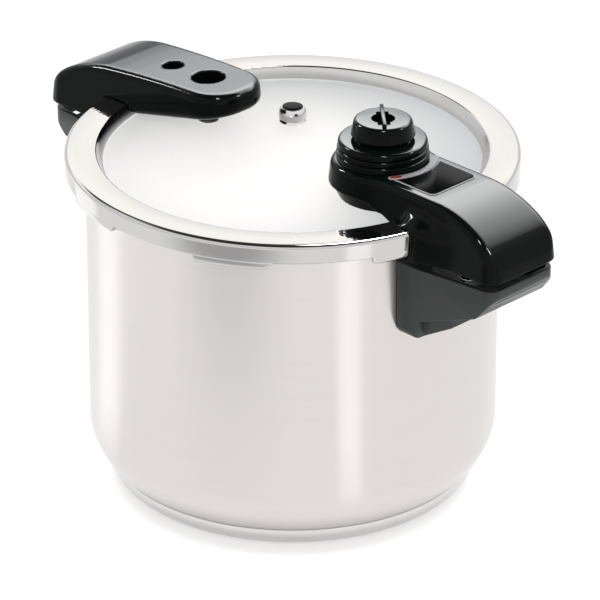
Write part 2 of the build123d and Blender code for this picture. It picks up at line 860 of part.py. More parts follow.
with BuildPart() as lid_handle_screws:
    head_face = screw_face - washer_thickness
    with Locations([(x, y, head_face) for x, y in lid_screw_places]):
        Cylinder(lid_screw_head_radius, lid_screw_head_height, align=(Align.CENTER, Align.CENTER, Align.MAX))
        Cylinder(lid_screw_radius, lid_screw_length, align=(Align.CENTER, Align.CENTER, Align.MIN))
    fillet(edges().filter_by(GeomType.CIRCLE).group_by(Axis.Z)[0], lid_screw_head_height / 2)
    with Locations([(x, y, head_face - lid_screw_head_height) for x, y in lid_screw_places]):
        Box(lid_screw_head_radius, lid_screw_radius / 2, lid_screw_head_height, mode=Mode.SUBTRACT)
        Box(lid_screw_radius / 2, lid_screw_head_radius, lid_screw_head_height, mode=Mode.SUBTRACT)
keep(lid_handle_screws, "lid_handle_screws")


def label_outline(inset):
    """Label's rounded outline, hollowed round the selector band, drawn in by the inset."""
    band_outer = collar_radius + band_inner_gap + band_width
    with Locations((regulator_x, 0)):
        Rectangle(
            label_end - regulator_x - inset,
            2 * (label_half_width - inset),
            align=(Align.MIN, Align.CENTER),
        )
    fillet(vertices().group_by(Axis.X)[-1], label_corner - inset)
    with Locations((regulator_x, 0)):
        Circle(band_outer + inset + band_inner_gap / 2, mode=Mode.SUBTRACT)


# Label: thin bright frame on the handle's top, with a blank black panel on it
with BuildPart() as label_frame:
    with BuildSketch(Plane.XY.offset(handle_top)):
        label_outline(0)
    extrude(amount=label_frame_thickness)
keep(label_frame, "label_frame")

with BuildPart() as label_panel:
    with BuildSketch(Plane.XY.offset(handle_top + label_frame_thickness)):
        label_outline(label_frame_border)
    extrude(amount=label_panel_thickness)
keep(label_panel, "label_panel")


# Selector band: silver arc beside the knob, with a red mark at one end
with BuildPart() as selector_arc:
    with BuildSketch(Plane.XY.offset(handle_top)):
        with Locations((regulator_x, 0)):
            SlotArc(
                CenterArc(
                    (0, 0),
                    collar_radius + band_inner_gap + band_width / 2,
                    band_from_angle,
                    band_to_angle - band_from_angle,
                    mode=Mode.PRIVATE,
                ),
                band_width,
            )
    extrude(amount=band_thickness)
keep(selector_arc, "selector_arc")

with BuildPart() as selector_mark:
    with BuildSketch(Plane.XY.offset(handle_top + band_thickness)):
        with Locations((regulator_x, 0)):
            SlotArc(
                CenterArc(
                    (0, 0),
                    collar_radius + band_inner_gap + band_width / 2,
                    band_from_angle,
                    mark_sweep_angle,
                    mode=Mode.PRIVATE,
                ),
                band_width / 2,
            )
    extrude(amount=label_panel_thickness)
keep(selector_mark, "selector_mark")

# Fixed collar and ring under the regulator knob
with BuildPart() as knob_collar:
    with BuildSketch(Plane.XY.offset(handle_top)):
        with Locations((regulator_x, 0)):
            Circle(collar_radius)
            Circle(hub_radius + shaft_gap, mode=Mode.SUBTRACT)
    extrude(amount=collar_height)
    collar_edges = edges().filter_by(GeomType.CIRCLE).group_by(SortBy.RADIUS)[-1]
    fillet(collar_edges.group_by(Axis.Z)[-1], collar_height / 4)
keep(knob_collar, "knob_collar")

with BuildPart() as knob_ring:
    with BuildSketch(Plane.XY.offset(collar_top)):
        with Locations((regulator_x, 0)):
            Circle(ring_radius)
            Circle(hub_radius + shaft_gap, mode=Mode.SUBTRACT)
    extrude(amount=ring_height)
    fillet(edges().filter_by(GeomType.CIRCLE).group_by(SortBy.RADIUS)[-1], ring_height / 4)
keep(knob_ring, "knob_ring")

# Regulator knob: hub, flange, waisted neck and tapered grip with a slotted well
clip_high = cavity_roof - running_gap
clip_low = clip_high - clip_thickness
hub_low = clip_low - clip_thickness
with BuildPart() as regulator_knob:
    with BuildSketch(upright_plane(regulator_x)) as knob_section:
        with BuildLine():
            Polyline(
                (0, knob_top),
                (knob_top_radius, knob_top),
                (knob_low_radius, knob_low),
                (neck_radius, knob_low),
                (neck_radius, flange_top),
                (flange_radius, flange_top),
                (flange_radius, flange_low),
                (hub_radius, flange_low),
                (hub_radius, clip_high),
                (hub_radius - clip_reach / 2, clip_high),
                (hub_radius - clip_reach / 2, clip_low),
                (hub_radius, clip_low),
                (hub_radius, hub_low),
                (hub_bore, hub_low),
                (hub_bore, knob_low),
                (0, knob_low),
                close=True,
            )
        make_face()
        for corner, radius in (
            ((knob_top_radius, knob_top), knob_round),
            ((knob_low_radius, knob_low), knob_low_round),
            ((flange_radius, flange_top), flange_height / 2),
        ):
            fillet(knob_section.vertices().sort_by_distance(corner)[0], radius)
    revolve(axis=upright_axis(regulator_x))
    with BuildSketch(Plane.XY.offset(knob_top)):
        with Locations(Location((regulator_x, 0, 0), (0, 0, bar_angle))):
            Circle(well_radius)
            Rectangle(slot_length, slot_width)
    extrude(amount=-well_depth, mode=Mode.SUBTRACT)
keep(regulator_knob, "regulator_knob")

# Grip bar: thin upright blade across the knob, standing in the slot
with BuildPart() as knob_grip_bar:
    bar_plane = Plane(
        origin=(regulator_x, 0, 0),
        x_dir=(cos(radians(bar_angle)), sin(radians(bar_angle)), 0),
        z_dir=(sin(radians(bar_angle)), -cos(radians(bar_angle)), 0),
    )
    with BuildSketch(bar_plane):
        with BuildLine():
            reach = knob_top_radius - knob_round
            foot = slot_length / 2 - seat_gap
            Polyline(
                (-reach, knob_top),
                (-reach, knob_top + bar_rise),
                (reach, knob_top + bar_rise),
                (reach, knob_top),
                (foot, knob_top),
                (foot, knob_top - well_depth),
                (-foot, knob_top - well_depth),
                (-foot, knob_top),
                close=True,
            )
        make_face()
    extrude(amount=bar_thickness / 2, both=True)
keep(knob_grip_bar, "knob_grip_bar")

# Retaining clip in the hub's groove, under the handle's roof
with BuildPart() as knob_clip:
    with BuildSketch(Plane.XY.offset(clip_low)):
        with Locations((regulator_x, 0)):
            Circle(hub_radius + clip_reach)
            Circle(hub_radius - clip_reach / 2 + screw_gap, mode=Mode.SUBTRACT)
            with Locations((-hub_radius, 0)):
                Rectangle(2 * hub_radius, hub_radius, mode=Mode.SUBTRACT)
    extrude(amount=clip_thickness)
keep(knob_clip, "knob_clip")

# Vent pipe through the lid, with washer and nut beneath
pipe_seat = dome_height(regulator_x - pipe_flange_radius) + seat_gap
pipe_under = dome_height(regulator_x + pipe_flange_radius) - lid_sheet - seat_gap
nut_top = pipe_under - washer_thickness
poppet_low = hub_low + 2 * pipe_flange_height
with BuildPart() as vent_pipe:
    with BuildSketch(upright_plane(regulator_x)):
        with BuildLine():
            pipe_low = nut_top - pipe_thread_length + washer_thickness
            Polyline(
                (pipe_bore, pipe_low),
                (pipe_radius, pipe_low),
                (pipe_radius, pipe_seat),
                (pipe_flange_radius, pipe_seat),
                (pipe_flange_radius, pipe_seat + pipe_flange_height),
                (pipe_radius, pipe_seat + pipe_flange_height),
                (pipe_radius, poppet_low - seat_gap),
                (pipe_bore, poppet_low - seat_gap),
                close=True,
            )
        make_face()
    revolve(axis=upright_axis(regulator_x))
keep(vent_pipe, "vent_pipe")

with BuildPart() as vent_pipe_washer:
    with BuildSketch(Plane.XY.offset(nut_top)):
        with Locations((regulator_x, 0)):
            Circle(pipe_flange_radius)
            Circle(pipe_radius + screw_gap, mode=Mode.SUBTRACT)
    extrude(amount=washer_thickness)
keep(vent_pipe_washer, "vent_pipe_washer")

with BuildPart() as vent_pipe_nut:
    with BuildSketch(Plane.XY.offset(nut_top)):
        with Locations((regulator_x, 0)):
            RegularPolygon(nut_across_flats / 2, nut_sides, major_radius=False)
            Circle(pipe_radius + screw_gap, mode=Mode.SUBTRACT)
    extrude(amount=-nut_height)
keep(vent_pipe_nut, "vent_pipe_nut")

# Valve poppet on the pipe's mouth, and the spring that presses it down
poppet_top = poppet_low + poppet_height
stem_top = knob_low - valve_travel - running_gap
with BuildPart() as valve_poppet:
    with BuildSketch(upright_plane(regulator_x)):
        with BuildLine():
            Polyline(
                (0, stem_top),
                (spring_radius - spring_wire, stem_top),
                (spring_radius - spring_wire, poppet_top),
                (poppet_radius, poppet_top),
                (poppet_radius, poppet_low),
                (pipe_bore - running_gap, poppet_low),
                (0, poppet_low - poppet_tip),
                close=True,
            )
        make_face()
    revolve(axis=upright_axis(regulator_x))
keep(valve_poppet, "valve_poppet")

with BuildPart() as valve_spring:
    spring_low = poppet_top + spring_wire / 2 + seat_gap
    spring_high = knob_low - spring_wire / 2 - seat_gap
    with BuildLine() as coil:
        quarter_rise = (spring_high - spring_low) / (4 * spring_turns)
        for quarter in range(4 * spring_turns):
            stations = [quarter, quarter + 0.5, quarter + 1]
            ThreePointArc(
                [
                    (
                        regulator_x + spring_radius * cos(station * pi / 2),
                        spring_radius * sin(station * pi / 2),
                        spring_low + station * quarter_rise,
                    )
                    for station in stations
                ]
            )
    with BuildSketch(Plane(origin=coil.line @ 0, z_dir=coil.line % 0)):
        Circle(spring_wire / 2)
    sweep(path=coil.line)
keep(valve_spring, "valve_spring")

# Overpressure plug: rubber stopper in a polished retainer on the lid
plug_seat = dome_height(plug_radius_from_axis - retainer_radius) + seat_gap
plug_under = dome_height(plug_radius_from_axis) - lid_sheet - plug_below
plug_rim = plug_seat + retainer_height
with BuildPart() as plug_retainer:
    with BuildSketch(upright_plane(plug_x, plug_y)):
        with BuildLine():
            Polyline(
                (plug_radius + screw_gap, plug_under + plug_below / 2),
                (retainer_spigot_radius, plug_under + plug_below / 2),
                (retainer_spigot_radius, plug_seat),
                (retainer_radius, plug_seat),
                (retainer_radius, plug_seat + retainer_height / 2),
                (retainer_top_radius, plug_rim),
                (plug_head_radius + screw_gap, plug_rim),
                (plug_head_radius + screw_gap, plug_rim - plug_head_height),
                (plug_radius + screw_gap, plug_rim - plug_head_height),
                close=True,
            )
        make_face()
    revolve(axis=upright_axis(plug_x, plug_y))
keep(plug_retainer, "plug_retainer")

with BuildPart() as overpressure_plug:
    with BuildSketch(upright_plane(plug_x, plug_y)):
        with BuildLine():
            Polyline(
                (0, plug_under),
                (plug_radius, plug_under),
                (plug_radius, plug_rim - plug_head_height + screw_gap),
                (plug_head_radius, plug_rim - plug_head_height + screw_gap),
                (plug_head_radius, plug_rim),
                (0, plug_rim),
                close=True,
            )
        make_face()
    revolve(axis=upright_axis(plug_x, plug_y))
    fillet(edges().filter_by(GeomType.CIRCLE).group_by(Axis.Z)[-1], plug_head_height / 2)
keep(overpressure_plug, "overpressure_plug")

# Upper rear helper handle: wing standing clear of the disc, with two windows
with BuildPart() as lid_helper_handle:
    tip = wing_tip_radius - wing_tip_centre
    with BuildSketch(Plane.XY.offset(handle_low)) as wing_outline:
        with BuildLine():
            Polyline(
                (tip, -wing_tip_radius),
                (tip, wing_tip_radius),
                (-wing_end, wing_half_width),
                (-wing_end, -wing_half_width),
                close=True,
            )
        make_face()
        fillet(wing_outline.vertices().group_by(Axis.X)[-1], wing_tip_radius - wing_tip_flat)
        fillet(wing_outline.vertices().group_by(Axis.X)[0], wing_corner)
    extrude(amount=wing_top - handle_low, taper=wing_draft)
    with BuildSketch(Plane.XZ):
        with BuildLine():
            wing_shoulder = (-wing_crown_end, wing_top - wing_crown_drop)
            wing_crown = TangentArc((tip, wing_top), wing_shoulder, tangent=(-1, 0))
            wing_knee = TangentArc(
                wing_shoulder, (-wing_knee_x, wing_top - wing_knee_drop), tangent=wing_crown % 1
            )
            wing_nose = TangentArc(
                wing_knee @ 1, (-wing_end, handle_low + handle_nose_height), tangent=wing_knee % 1
            )
            Polyline(
                wing_nose @ 1,
                (-wing_end, handle_low),
                (-wing_under_x, handle_low),
                (-wing_under_x, disc_edge),
                (tip, wing_top - wing_tip_thickness),
                (tip, wing_top),
            )
        make_face()
    extrude(amount=2 * wing_half_width, both=True, mode=Mode.INTERSECT)
    fillet(crown_edges(lid_helper_handle, handle_low + handle_nose_height), wing_edge_round)
    wing_belly = [face for face in lid_helper_handle.faces() if -belly_slope < face.normal_at().Z < -crown_slope]
    belly_rim = [edge for edge in wing_belly[0].edges() if edge.center().X > -wing_under_x + wing_under_round]
    fillet(belly_rim, wing_under_round)
    revolve(lid_envelope(seat_gap), axis=Axis.Z, mode=Mode.SUBTRACT)
    with BuildSketch(Plane.XY.offset(disc_edge)):
        with Locations((-lock_x, 0)):
            Circle(lock_window_radius)
    extrude(amount=2 * wing_top_rise, mode=Mode.SUBTRACT)
    wing_seat = dome_height(wing_screw_x) + wing_screw_seat
    with BuildSketch(Plane.XY.offset(wing_seat)):
        with Locations((-wing_screw_x, 0)):
            Circle(wing_screw_window)
    extrude(amount=2 * wing_top_rise, mode=Mode.SUBTRACT)
    with BuildSketch(Plane.XY.offset(disc_edge)):
        with Locations((-wing_screw_x, 0)):
            Circle(wing_screw_radius + screw_gap)
    extrude(amount=2 * wing_top_rise, mode=Mode.SUBTRACT)
    with BuildSketch(Plane.XY.offset(disc_edge)):
        with Locations((-wing_screw_x, 0)):
            Circle(stud_radius + seat_gap)
    extrude(amount=dome_height(wing_screw_x) + stud_height + 2 * seat_gap - disc_edge, mode=Mode.SUBTRACT)
keep(lid_helper_handle, "lid_helper_handle")

# Weld stud on the lid and the screw that pulls the wing down onto it
stud_low = dome_height(wing_screw_x - stud_radius) + bond_gap
with BuildPart() as lid_helper_stud:
    with BuildSketch(Plane.XY.offset(stud_low)):
        with Locations((-wing_screw_x, 0)):
            Circle(stud_radius)
            Circle(wing_screw_radius + screw_gap, mode=Mode.SUBTRACT)
    extrude(amount=stud_height)
keep(lid_helper_stud, "lid_helper_stud")

with BuildPart() as lid_helper_screw:
    with Locations((-wing_screw_x, 0, wing_seat)):
        Cylinder(
            wing_screw_window - seat_gap - running_gap,
            wing_screw_head_height,
            align=(Align.CENTER, Align.CENTER, Align.MIN),
        )
        Cylinder(wing_screw_radius, wing_seat - stud_low, align=(Align.CENTER, Align.CENTER, Align.MAX))
    fillet(edges().filter_by(GeomType.CIRCLE).group_by(Axis.Z)[-1], wing_screw_head_height / 3)
    with Locations((-wing_screw_x, 0, wing_seat + wing_screw_head_height)):
        Box(2 * stud_radius, wing_screw_radius / 2, wing_screw_head_height, mode=Mode.SUBTRACT)
keep(lid_helper_screw, "lid_helper_screw")

# Cover lock: guide bush in the lid, and the pin with its seal that rises under pressure
lock_seat = dome_height(lock_x - lock_bush_flange) + seat_gap
lock_under = dome_height(lock_x + lock_seal_radius) - lid_sheet - seat_gap
with BuildPart() as lock_bushing:
    with BuildSketch(upright_plane(-lock_x)):
        with BuildLine():
            Polyline(
                (lock_pin_radius + shaft_gap, lock_under),
                (lock_bush_radius, lock_under),
                (lock_bush_radius, lock_seat),
                (lock_bush_flange, lock_seat),
                (lock_bush_flange, lock_seat + lid_sheet),
                (lock_bush_radius, lock_seat + lid_sheet),
                (lock_bush_radius, lock_seat + lock_bush_height),
                (lock_pin_radius + shaft_gap, lock_seat + lock_bush_height),
                close=True,
            )
        make_face()
    revolve(axis=upright_axis(-lock_x))
keep(lock_bushing, "lock_bushing")

pin_head_low = lock_seat + lock_bush_height + running_gap
seal_face = lock_under - lock_travel - running_gap
with BuildPart() as lock_pin:
    with BuildSketch(upright_plane(-lock_x)):
        with BuildLine():
            Polyline(
                (0, seal_face - lock_seal_height - lid_sheet),
                (lock_seal_radius, seal_face - lock_seal_height - lid_sheet),
                (lock_seal_radius, seal_face - lock_seal_height),
                (lock_pin_radius, seal_face - lock_seal_height),
                (lock_pin_radius, pin_head_low),
                (lock_pin_head_radius, pin_head_low),
                (lock_pin_head_radius, lock_seat + lock_pin_top),
                (0, lock_seat + lock_pin_top),
                close=True,
            )
        make_face()
    revolve(axis=upright_axis(-lock_x))
keep(lock_pin, "lock_pin")

with BuildPart() as lock_pin_seal:
    with BuildSketch(Plane.XY.offset(seal_face - lock_seal_height)):
        with Locations((-lock_x, 0)):
            Circle(lock_seal_radius)
            Circle(lock_pin_radius + screw_gap, mode=Mode.SUBTRACT)
    extrude(amount=lock_seal_height)
keep(lock_pin_seal, "lock_pin_seal")
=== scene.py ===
import math

import bpy
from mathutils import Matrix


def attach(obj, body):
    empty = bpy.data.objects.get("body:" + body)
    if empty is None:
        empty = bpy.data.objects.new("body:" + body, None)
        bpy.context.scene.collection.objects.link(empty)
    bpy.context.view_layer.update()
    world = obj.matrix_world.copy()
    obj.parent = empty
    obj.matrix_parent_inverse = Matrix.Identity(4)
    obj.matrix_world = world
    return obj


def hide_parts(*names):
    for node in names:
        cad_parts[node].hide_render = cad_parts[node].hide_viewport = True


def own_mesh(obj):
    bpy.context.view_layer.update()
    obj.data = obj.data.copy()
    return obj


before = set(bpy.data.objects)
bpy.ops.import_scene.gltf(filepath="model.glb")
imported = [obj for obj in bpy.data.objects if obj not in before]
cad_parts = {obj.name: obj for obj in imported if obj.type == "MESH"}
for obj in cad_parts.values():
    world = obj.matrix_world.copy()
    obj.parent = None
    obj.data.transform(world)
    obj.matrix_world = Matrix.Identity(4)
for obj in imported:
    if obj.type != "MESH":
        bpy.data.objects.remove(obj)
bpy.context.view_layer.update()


# Pot: one drawn bowl of stainless sheet, its wall satin brushed round and round, its rim turned
# out flat under the lid. Eight short lugs stand out of the rim for the lid to lock under.
class Wire:
    """One output in a material's node tree. Sums of wires become Math nodes."""

    def __init__(self, tree, socket=None):
        self.tree = tree
        self.socket = socket

    def node(self, kind, settings, sockets, output=0):
        """Add a node: settings first, then a value or a wire for each socket."""
        made = self.tree.nodes.new(kind)
        for key, value in settings.items():
            if key == "stops":
                for index, (place, shade) in enumerate(value):
                    spots = made.color_ramp.elements
                    stop = spots[index] if index < len(spots) else spots.new(place)
                    stop.position = place
                    stop.color = shade
            else:
                setattr(made, key, value)
        for key, value in sockets.items():
            if isinstance(value, Wire):
                self.tree.links.new(value.socket, made.inputs[key])
            else:
                made.inputs[key].default_value = value
        return Wire(self.tree, made.outputs[output])

    def maths(self, operation, *values):
        return self.node("ShaderNodeMath", {"operation": operation}, dict(enumerate(values)))

    def __add__(self, other):
        return self.maths("ADD", self, other)

    def __radd__(self, other):
        return self.maths("ADD", other, self)

    def __sub__(self, other):
        return self.maths("SUBTRACT", self, other)

    def __rsub__(self, other):
        return self.maths("SUBTRACT", other, self)

    def __mul__(self, other):
        return self.maths("MULTIPLY", self, other)

    def __rmul__(self, other):
        return self.maths("MULTIPLY", other, self)


def new_finish(name, fixed):
    """A material with its even values set on the surface, and a wire of the piece's own coordinates."""
    material = bpy.data.materials.new(name)
    material.use_nodes = True
    surface = material.node_tree.nodes["Principled BSDF"]
    for key, value in fixed.items():
        surface.inputs[key].default_value = value
    place = Wire(material.node_tree).node("ShaderNodeTexCoord", {}, {}, "Object")
    return material, surface, place


def feed(surface, socket, wire):
    """Lead a wire into a socket."""
    wire.tree.links.new(wire.socket, surface.inputs[socket])


def cloud(vector, scale, detail=3.0, rough=0.55):
    """Soft noise between 0 and 1 over a vector."""
    sockets = {"Vector": vector, "Scale": scale, "Detail": detail, "Roughness": rough}
    return vector.node("ShaderNodeTexNoise", {}, sockets, "Fac")


def mixed(mask, first, second):
    """A colour that goes from first to second with the mask."""
    return mask.node("ShaderNodeMix", {"data_type": "RGBA"}, {0: mask, 6: first, 7: second}, 2)


def shade_between(mask, dark, light):
    """A colour that goes from one plain colour to another with the mask."""
    return mixed(mask, (*dark, 1), (*light, 1))


def raised(height, strength, depth):
    """The normal of a surface with that height on it."""
    sockets = {"Height": height, "Strength": strength, "Distance": depth}
    return height.node("ShaderNodeBump", {}, sockets, "Normal")


def split(place, axes):
    """The named parts of a vector."""
    return [place.node("ShaderNodeSeparateXYZ", {}, {0: place}, axis) for axis in axes]


def from_axis(place):
    """Distance from the pot's axis."""
    x, y = split(place, "XY")
    return x.maths("SQRT", x * x + y * y)


def round_grain(place, along=2.0, across=1600.0):
    """Coordinates long round the axis and short across it, as a brush on a turning piece cuts."""
    x, y, z = split(place, "XYZ")
    turn = x.maths("ARCTAN2", y, x)
    sockets = {"X": turn * along, "Y": z * across, "Z": from_axis(place) * across}
    return x.node("ShaderNodeCombineXYZ", {}, sockets)


def brushed_steel(name, dark, light, rough, spread, fixed):
    """Stainless steel brushed round an axis: grain in tone, gloss and height, and handling marks."""
    material, surface, place = new_finish(name, {"Metallic": 1.0, **fixed})
    fine = cloud(round_grain(place), scale=1.0, detail=2.0)
    broad = cloud(round_grain(place, along=1.2, across=160.0), scale=1.0, detail=2.0)
    marks = cloud(place, scale=14.0, detail=4.0)
    feed(surface, "Base Color", shade_between(fine * 0.6 + broad * 0.15 + marks * 0.25, dark, light))
    feed(surface, "Roughness", rough + spread * (fine - 0.5) + spread * (marks - 0.5))
    feed(surface, "Normal", raised(fine, strength=0.03, depth=0.0001))
    return material


def bow(x, z, radius, first, last, count):
    """Points along an arc of a section, angles in degrees from the outward direction."""
    angles = [math.radians(first + (last - first) * step / count) for step in range(count + 1)]
    return [(x + radius * math.cos(angle), z + radius * math.sin(angle)) for angle in angles]


weld_gap = 0.000002
turned_crease = math.radians(32)


def turned(name, section, steps, axis=(0.0, 0.0), first=0.0, sweep=360.0):
    """Draw a half section vertex by vertex and spin it round an upright axis."""
    centre = (axis[0], axis[1], 0)
    bpy.ops.object.select_all(action="DESELECT")
    bpy.ops.mesh.primitive_plane_add(size=0.01, location=(0, 0, 0))
    piece = bpy.context.object
    piece.name = name
    bpy.ops.object.mode_set(mode="EDIT")
    bpy.ops.mesh.merge(type="CENTER")
    bpy.ops.transform.translate(value=(axis[0] + section[0][0], axis[1], section[0][1]))
    for (x, z), (next_x, next_z) in zip(section, section[1:]):
        step = (next_x - x, 0, next_z - z)
        bpy.ops.mesh.extrude_vertices_move(TRANSFORM_OT_translate={"value": step})
    bpy.ops.mesh.select_all(action="SELECT")
    if first:
        bpy.ops.transform.rotate(value=-math.radians(first), orient_axis="Z", center_override=centre)
    bpy.ops.mesh.spin(steps=steps, angle=-math.radians(sweep), center=centre, axis=(0, 0, 1))
    bpy.ops.mesh.select_all(action="SELECT")
    bpy.ops.mesh.remove_doubles(threshold=weld_gap)
    if sweep < 360.0:
        bpy.ops.mesh.fill_holes(sides=0)
        bpy.ops.mesh.select_all(action="SELECT")
    bpy.ops.mesh.normals_make_consistent(inside=False)
    bpy.ops.object.mode_set(mode="OBJECT")
    bpy.ops.object.shade_smooth_by_angle(angle=turned_crease)
    return piece


def joined(pieces):
    """Make several meshes one object, the first one's."""
    bpy.ops.object.select_all(action="DESELECT")
    for piece in pieces:
        piece.select_set(True)
    bpy.context.view_layer.objects.active = pieces[0]
    bpy.ops.object.join()
    return bpy.context.object


def dress(piece, body, slot, material, *nodes):
    """Give a finished piece its material, its body and the nodes it stands for."""
    piece.data.materials.clear()
    piece.data.materials.append(material)
    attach(piece, body)
    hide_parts(*nodes)


wall_radius = 0.117
pot_sheet = 0.001
corner_radius = 0.034
pot_floor_under = 0.0034
rim_height = 0.1886
rim_bend = 0.003
rim_break = 0.0005
lip_radius = 0.123
lip_thick = 0.0015
lip_break = 0.0002
lug_radius = 0.1255
lug_root = lip_radius - 0.001
lug_under = 0.1868
lug_break = 0.0003
lug_count = 8
lug_centre = -14.5
lug_pitch = 45.0
pot_lug_span = 19.0
bend_x = wall_radius + rim_bend
bend_z = rim_height - pot_sheet - rim_bend
corner_x = wall_radius - corner_radius
corner_z = pot_floor_under + corner_radius
pot_section = [(0, pot_floor_under)]
pot_section += bow(corner_x, corner_z, corner_radius, 270, 360, 16)
pot_section += bow(bend_x, bend_z, rim_bend, 180, 90, 6)
pot_section += [(lip_radius - lip_thick, rim_height - pot_sheet), (lip_radius - lip_thick, lug_under)]
pot_section += [(lip_radius - lip_break, lug_under), (lip_radius, lug_under + lug_break)]
pot_section += [(lip_radius, rim_height - rim_break), (lip_radius - rim_break, rim_height)]
pot_section += bow(bend_x, bend_z, rim_bend + pot_sheet, 90, 180, 6)
pot_section += bow(corner_x, corner_z, corner_radius - pot_sheet, 0, -90, 16)
pot_section += [(0, pot_floor_under + pot_sheet)]
pot_parts = [turned("pot", pot_section, steps=220)]
lug_section = [(lug_root, lug_under), (lug_radius - lug_break, lug_under)]
lug_section += [(lug_radius, lug_under + lug_break), (lug_radius, rim_height - rim_break)]
lug_section += [(lug_radius - rim_break, rim_height), (lug_root, rim_height), (lug_root, lug_under)]
for index in range(lug_count):
    start = lug_centre + lug_pitch * index - pot_lug_span / 2
    pot_lug = turned(f"pot_lug_{index}", lug_section, steps=12, first=start, sweep=pot_lug_span)
    pot_parts.append(pot_lug)
pot = joined(pot_parts)
pot_steel = brushed_steel(
    "satin_steel_wall", dark=(0.59, 0.565, 0.55), light=(0.68, 0.645, 0.63), rough=0.25, spread=0.03,
    fixed={"Anisotropic": 0.92, "Anisotropic Rotation": 0.25},
)
dress(pot, "pot", "pot_steel", pot_steel, "pot_shell")

# Base: an aluminium disc that spreads the heat, shut in under the pot by a pressed steel cup.
# The cup's rolled edge closes on the pot's round corner and shows as a narrow bright band.
base_radius = 0.106
base_round = 0.011
cap_sheet = 0.0007
cup_top = 0.0121
rolled_edge = [(0.0, 0.0006), (0.0002, 0.0001), (0.0005, 0.0004)]
cup_section = [(0, 0)]
cup_section += bow(base_radius - base_round, base_round, base_round, 270, 360, 14)
cup_section += [(base_radius - inset, cup_top - drop) for inset, drop in rolled_edge]
cup_section += [(base_radius - cap_sheet, base_round)]
cup_section += bow(base_radius - base_round, base_round, base_round - cap_sheet, 0, -90, 14)
cup_section += [(0, cap_sheet)]
base_cup = turned("base_cup", cup_section, steps=220)
cup_steel = brushed_steel(
    "bright_steel_base", dark=(0.56, 0.545, 0.53), light=(0.68, 0.665, 0.65), rough=0.24, spread=0.05,
    fixed={"Anisotropic": 0.6, "Anisotropic Rotation": 0.25},
)
dress(base_cup, "pot", "pot_steel", cup_steel, "base_cap")


def plain_metal(name, dark, light, rough, spread, scale, metallic=1.0):
    """Bare metal with a mottled tone and gloss and a fine tooth."""
    material, surface, place = new_finish(name, {"Metallic": metallic})
    mottle = cloud(place, scale, detail=4.0)
    tooth = cloud(place, scale * 12, detail=2.0)
    feed(surface, "Base Color", shade_between(mottle, dark, light))
    feed(surface, "Roughness", rough + spread * (mottle - 0.5) + spread * (tooth - 0.5))
    feed(surface, "Normal", raised(tooth, strength=0.08, depth=0.0001))
    return material


def paint(material, *names):
    """Put a material on nodes that keep their own shape."""
    for name in names:
        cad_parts[name].material_slots[0].material = material


mill_aluminium = plain_metal(
    "mill_aluminium", dark=(0.62, 0.62, 0.63), light=(0.74, 0.74, 0.75),
    rough=0.42, spread=0.12, scale=90.0,
)
paint(mill_aluminium, "base_core")

# Handle brackets: bent steel straps spot-welded to the wall, one under each lower handle. Their
# tongues lie in the handles and take the screws, which show as bright heads in the handle gap.
strap_steel = plain_metal(
    "strap_steel", dark=(0.36, 0.37, 0.38), light=(0.48, 0.49, 0.50),
    rough=0.36, spread=0.12, scale=120.0,
)
paint(strap_steel, "pot_handle_bracket", "pot_helper_bracket")
cut_crease = math.radians(40)


def copied(node, name):
    """A copy of a node's own form with its triangles merged."""
    piece = bpy.data.objects.new(name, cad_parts[node].data.copy())
    bpy.context.scene.collection.objects.link(piece)
    bpy.ops.object.select_all(action="DESELECT")
    piece.select_set(True)
    bpy.context.view_layer.objects.active = piece
    bpy.ops.object.mode_set(mode="EDIT")
    bpy.ops.mesh.select_all(action="SELECT")
    bpy.ops.mesh.remove_doubles(threshold=weld_gap)
    bpy.ops.object.mode_set(mode="OBJECT")
    return piece


def eased(node, name, width):
    """A copy of a small hard piece with its edges broken by a fine bevel."""
    piece = copied(node, name)
    bpy.ops.object.mode_set(mode="EDIT")
    bpy.ops.mesh.select_all(action="SELECT")
    bpy.ops.mesh.dissolve_limited(angle_limit=math.radians(1.0))
    bpy.ops.object.mode_set(mode="OBJECT")
    edge = piece.modifiers.new("broken_edge", "BEVEL")
    edge.width = width
    edge.segments = 2
    edge.limit_method = "ANGLE"
    edge.angle_limit = cut_crease
    bpy.ops.object.modifier_apply(modifier="broken_edge")
    bpy.ops.object.shade_smooth_by_angle(angle=cut_crease)
    return piece


machined_edge = 0.0002
screw_steel = plain_metal(
    "screw_steel", dark=(0.62, 0.62, 0.61), light=(0.78, 0.78, 0.77),
    rough=0.22, spread=0.08, scale=260.0,
)
for node in ("pot_handle_screws", "pot_helper_screws"):
    screws = eased(node, f"{node}_bright", machined_edge)
    dress(screws, "pot", "screw_steel", screw_steel, node)


# Lower handles: moulded open trays of dark satin plastic, a long one at the front and a short one
# at the back. Each has a foot that bears on the wall and a web under the grip.
def moulded_plastic(name, dark, light, rough, spread, tooth, ior):
    """Moulded plastic: a faint cloud in its tone, patchy gloss and a fine skin."""
    material, surface, place = new_finish(name, {"IOR": ior})
    patch = cloud(place, scale=30.0, detail=4.0)
    skin = cloud(place, scale=1400.0, detail=2.0)
    rubbed = cloud(place, scale=9.0, detail=5.0, rough=0.65)
    feed(surface, "Base Color", shade_between(patch, dark, light))
    feed(surface, "Roughness", rough + spread * (patch - 0.5) + spread * (rubbed - 0.5))
    feed(surface, "Normal", raised(skin, strength=tooth, depth=0.00005))
    return material


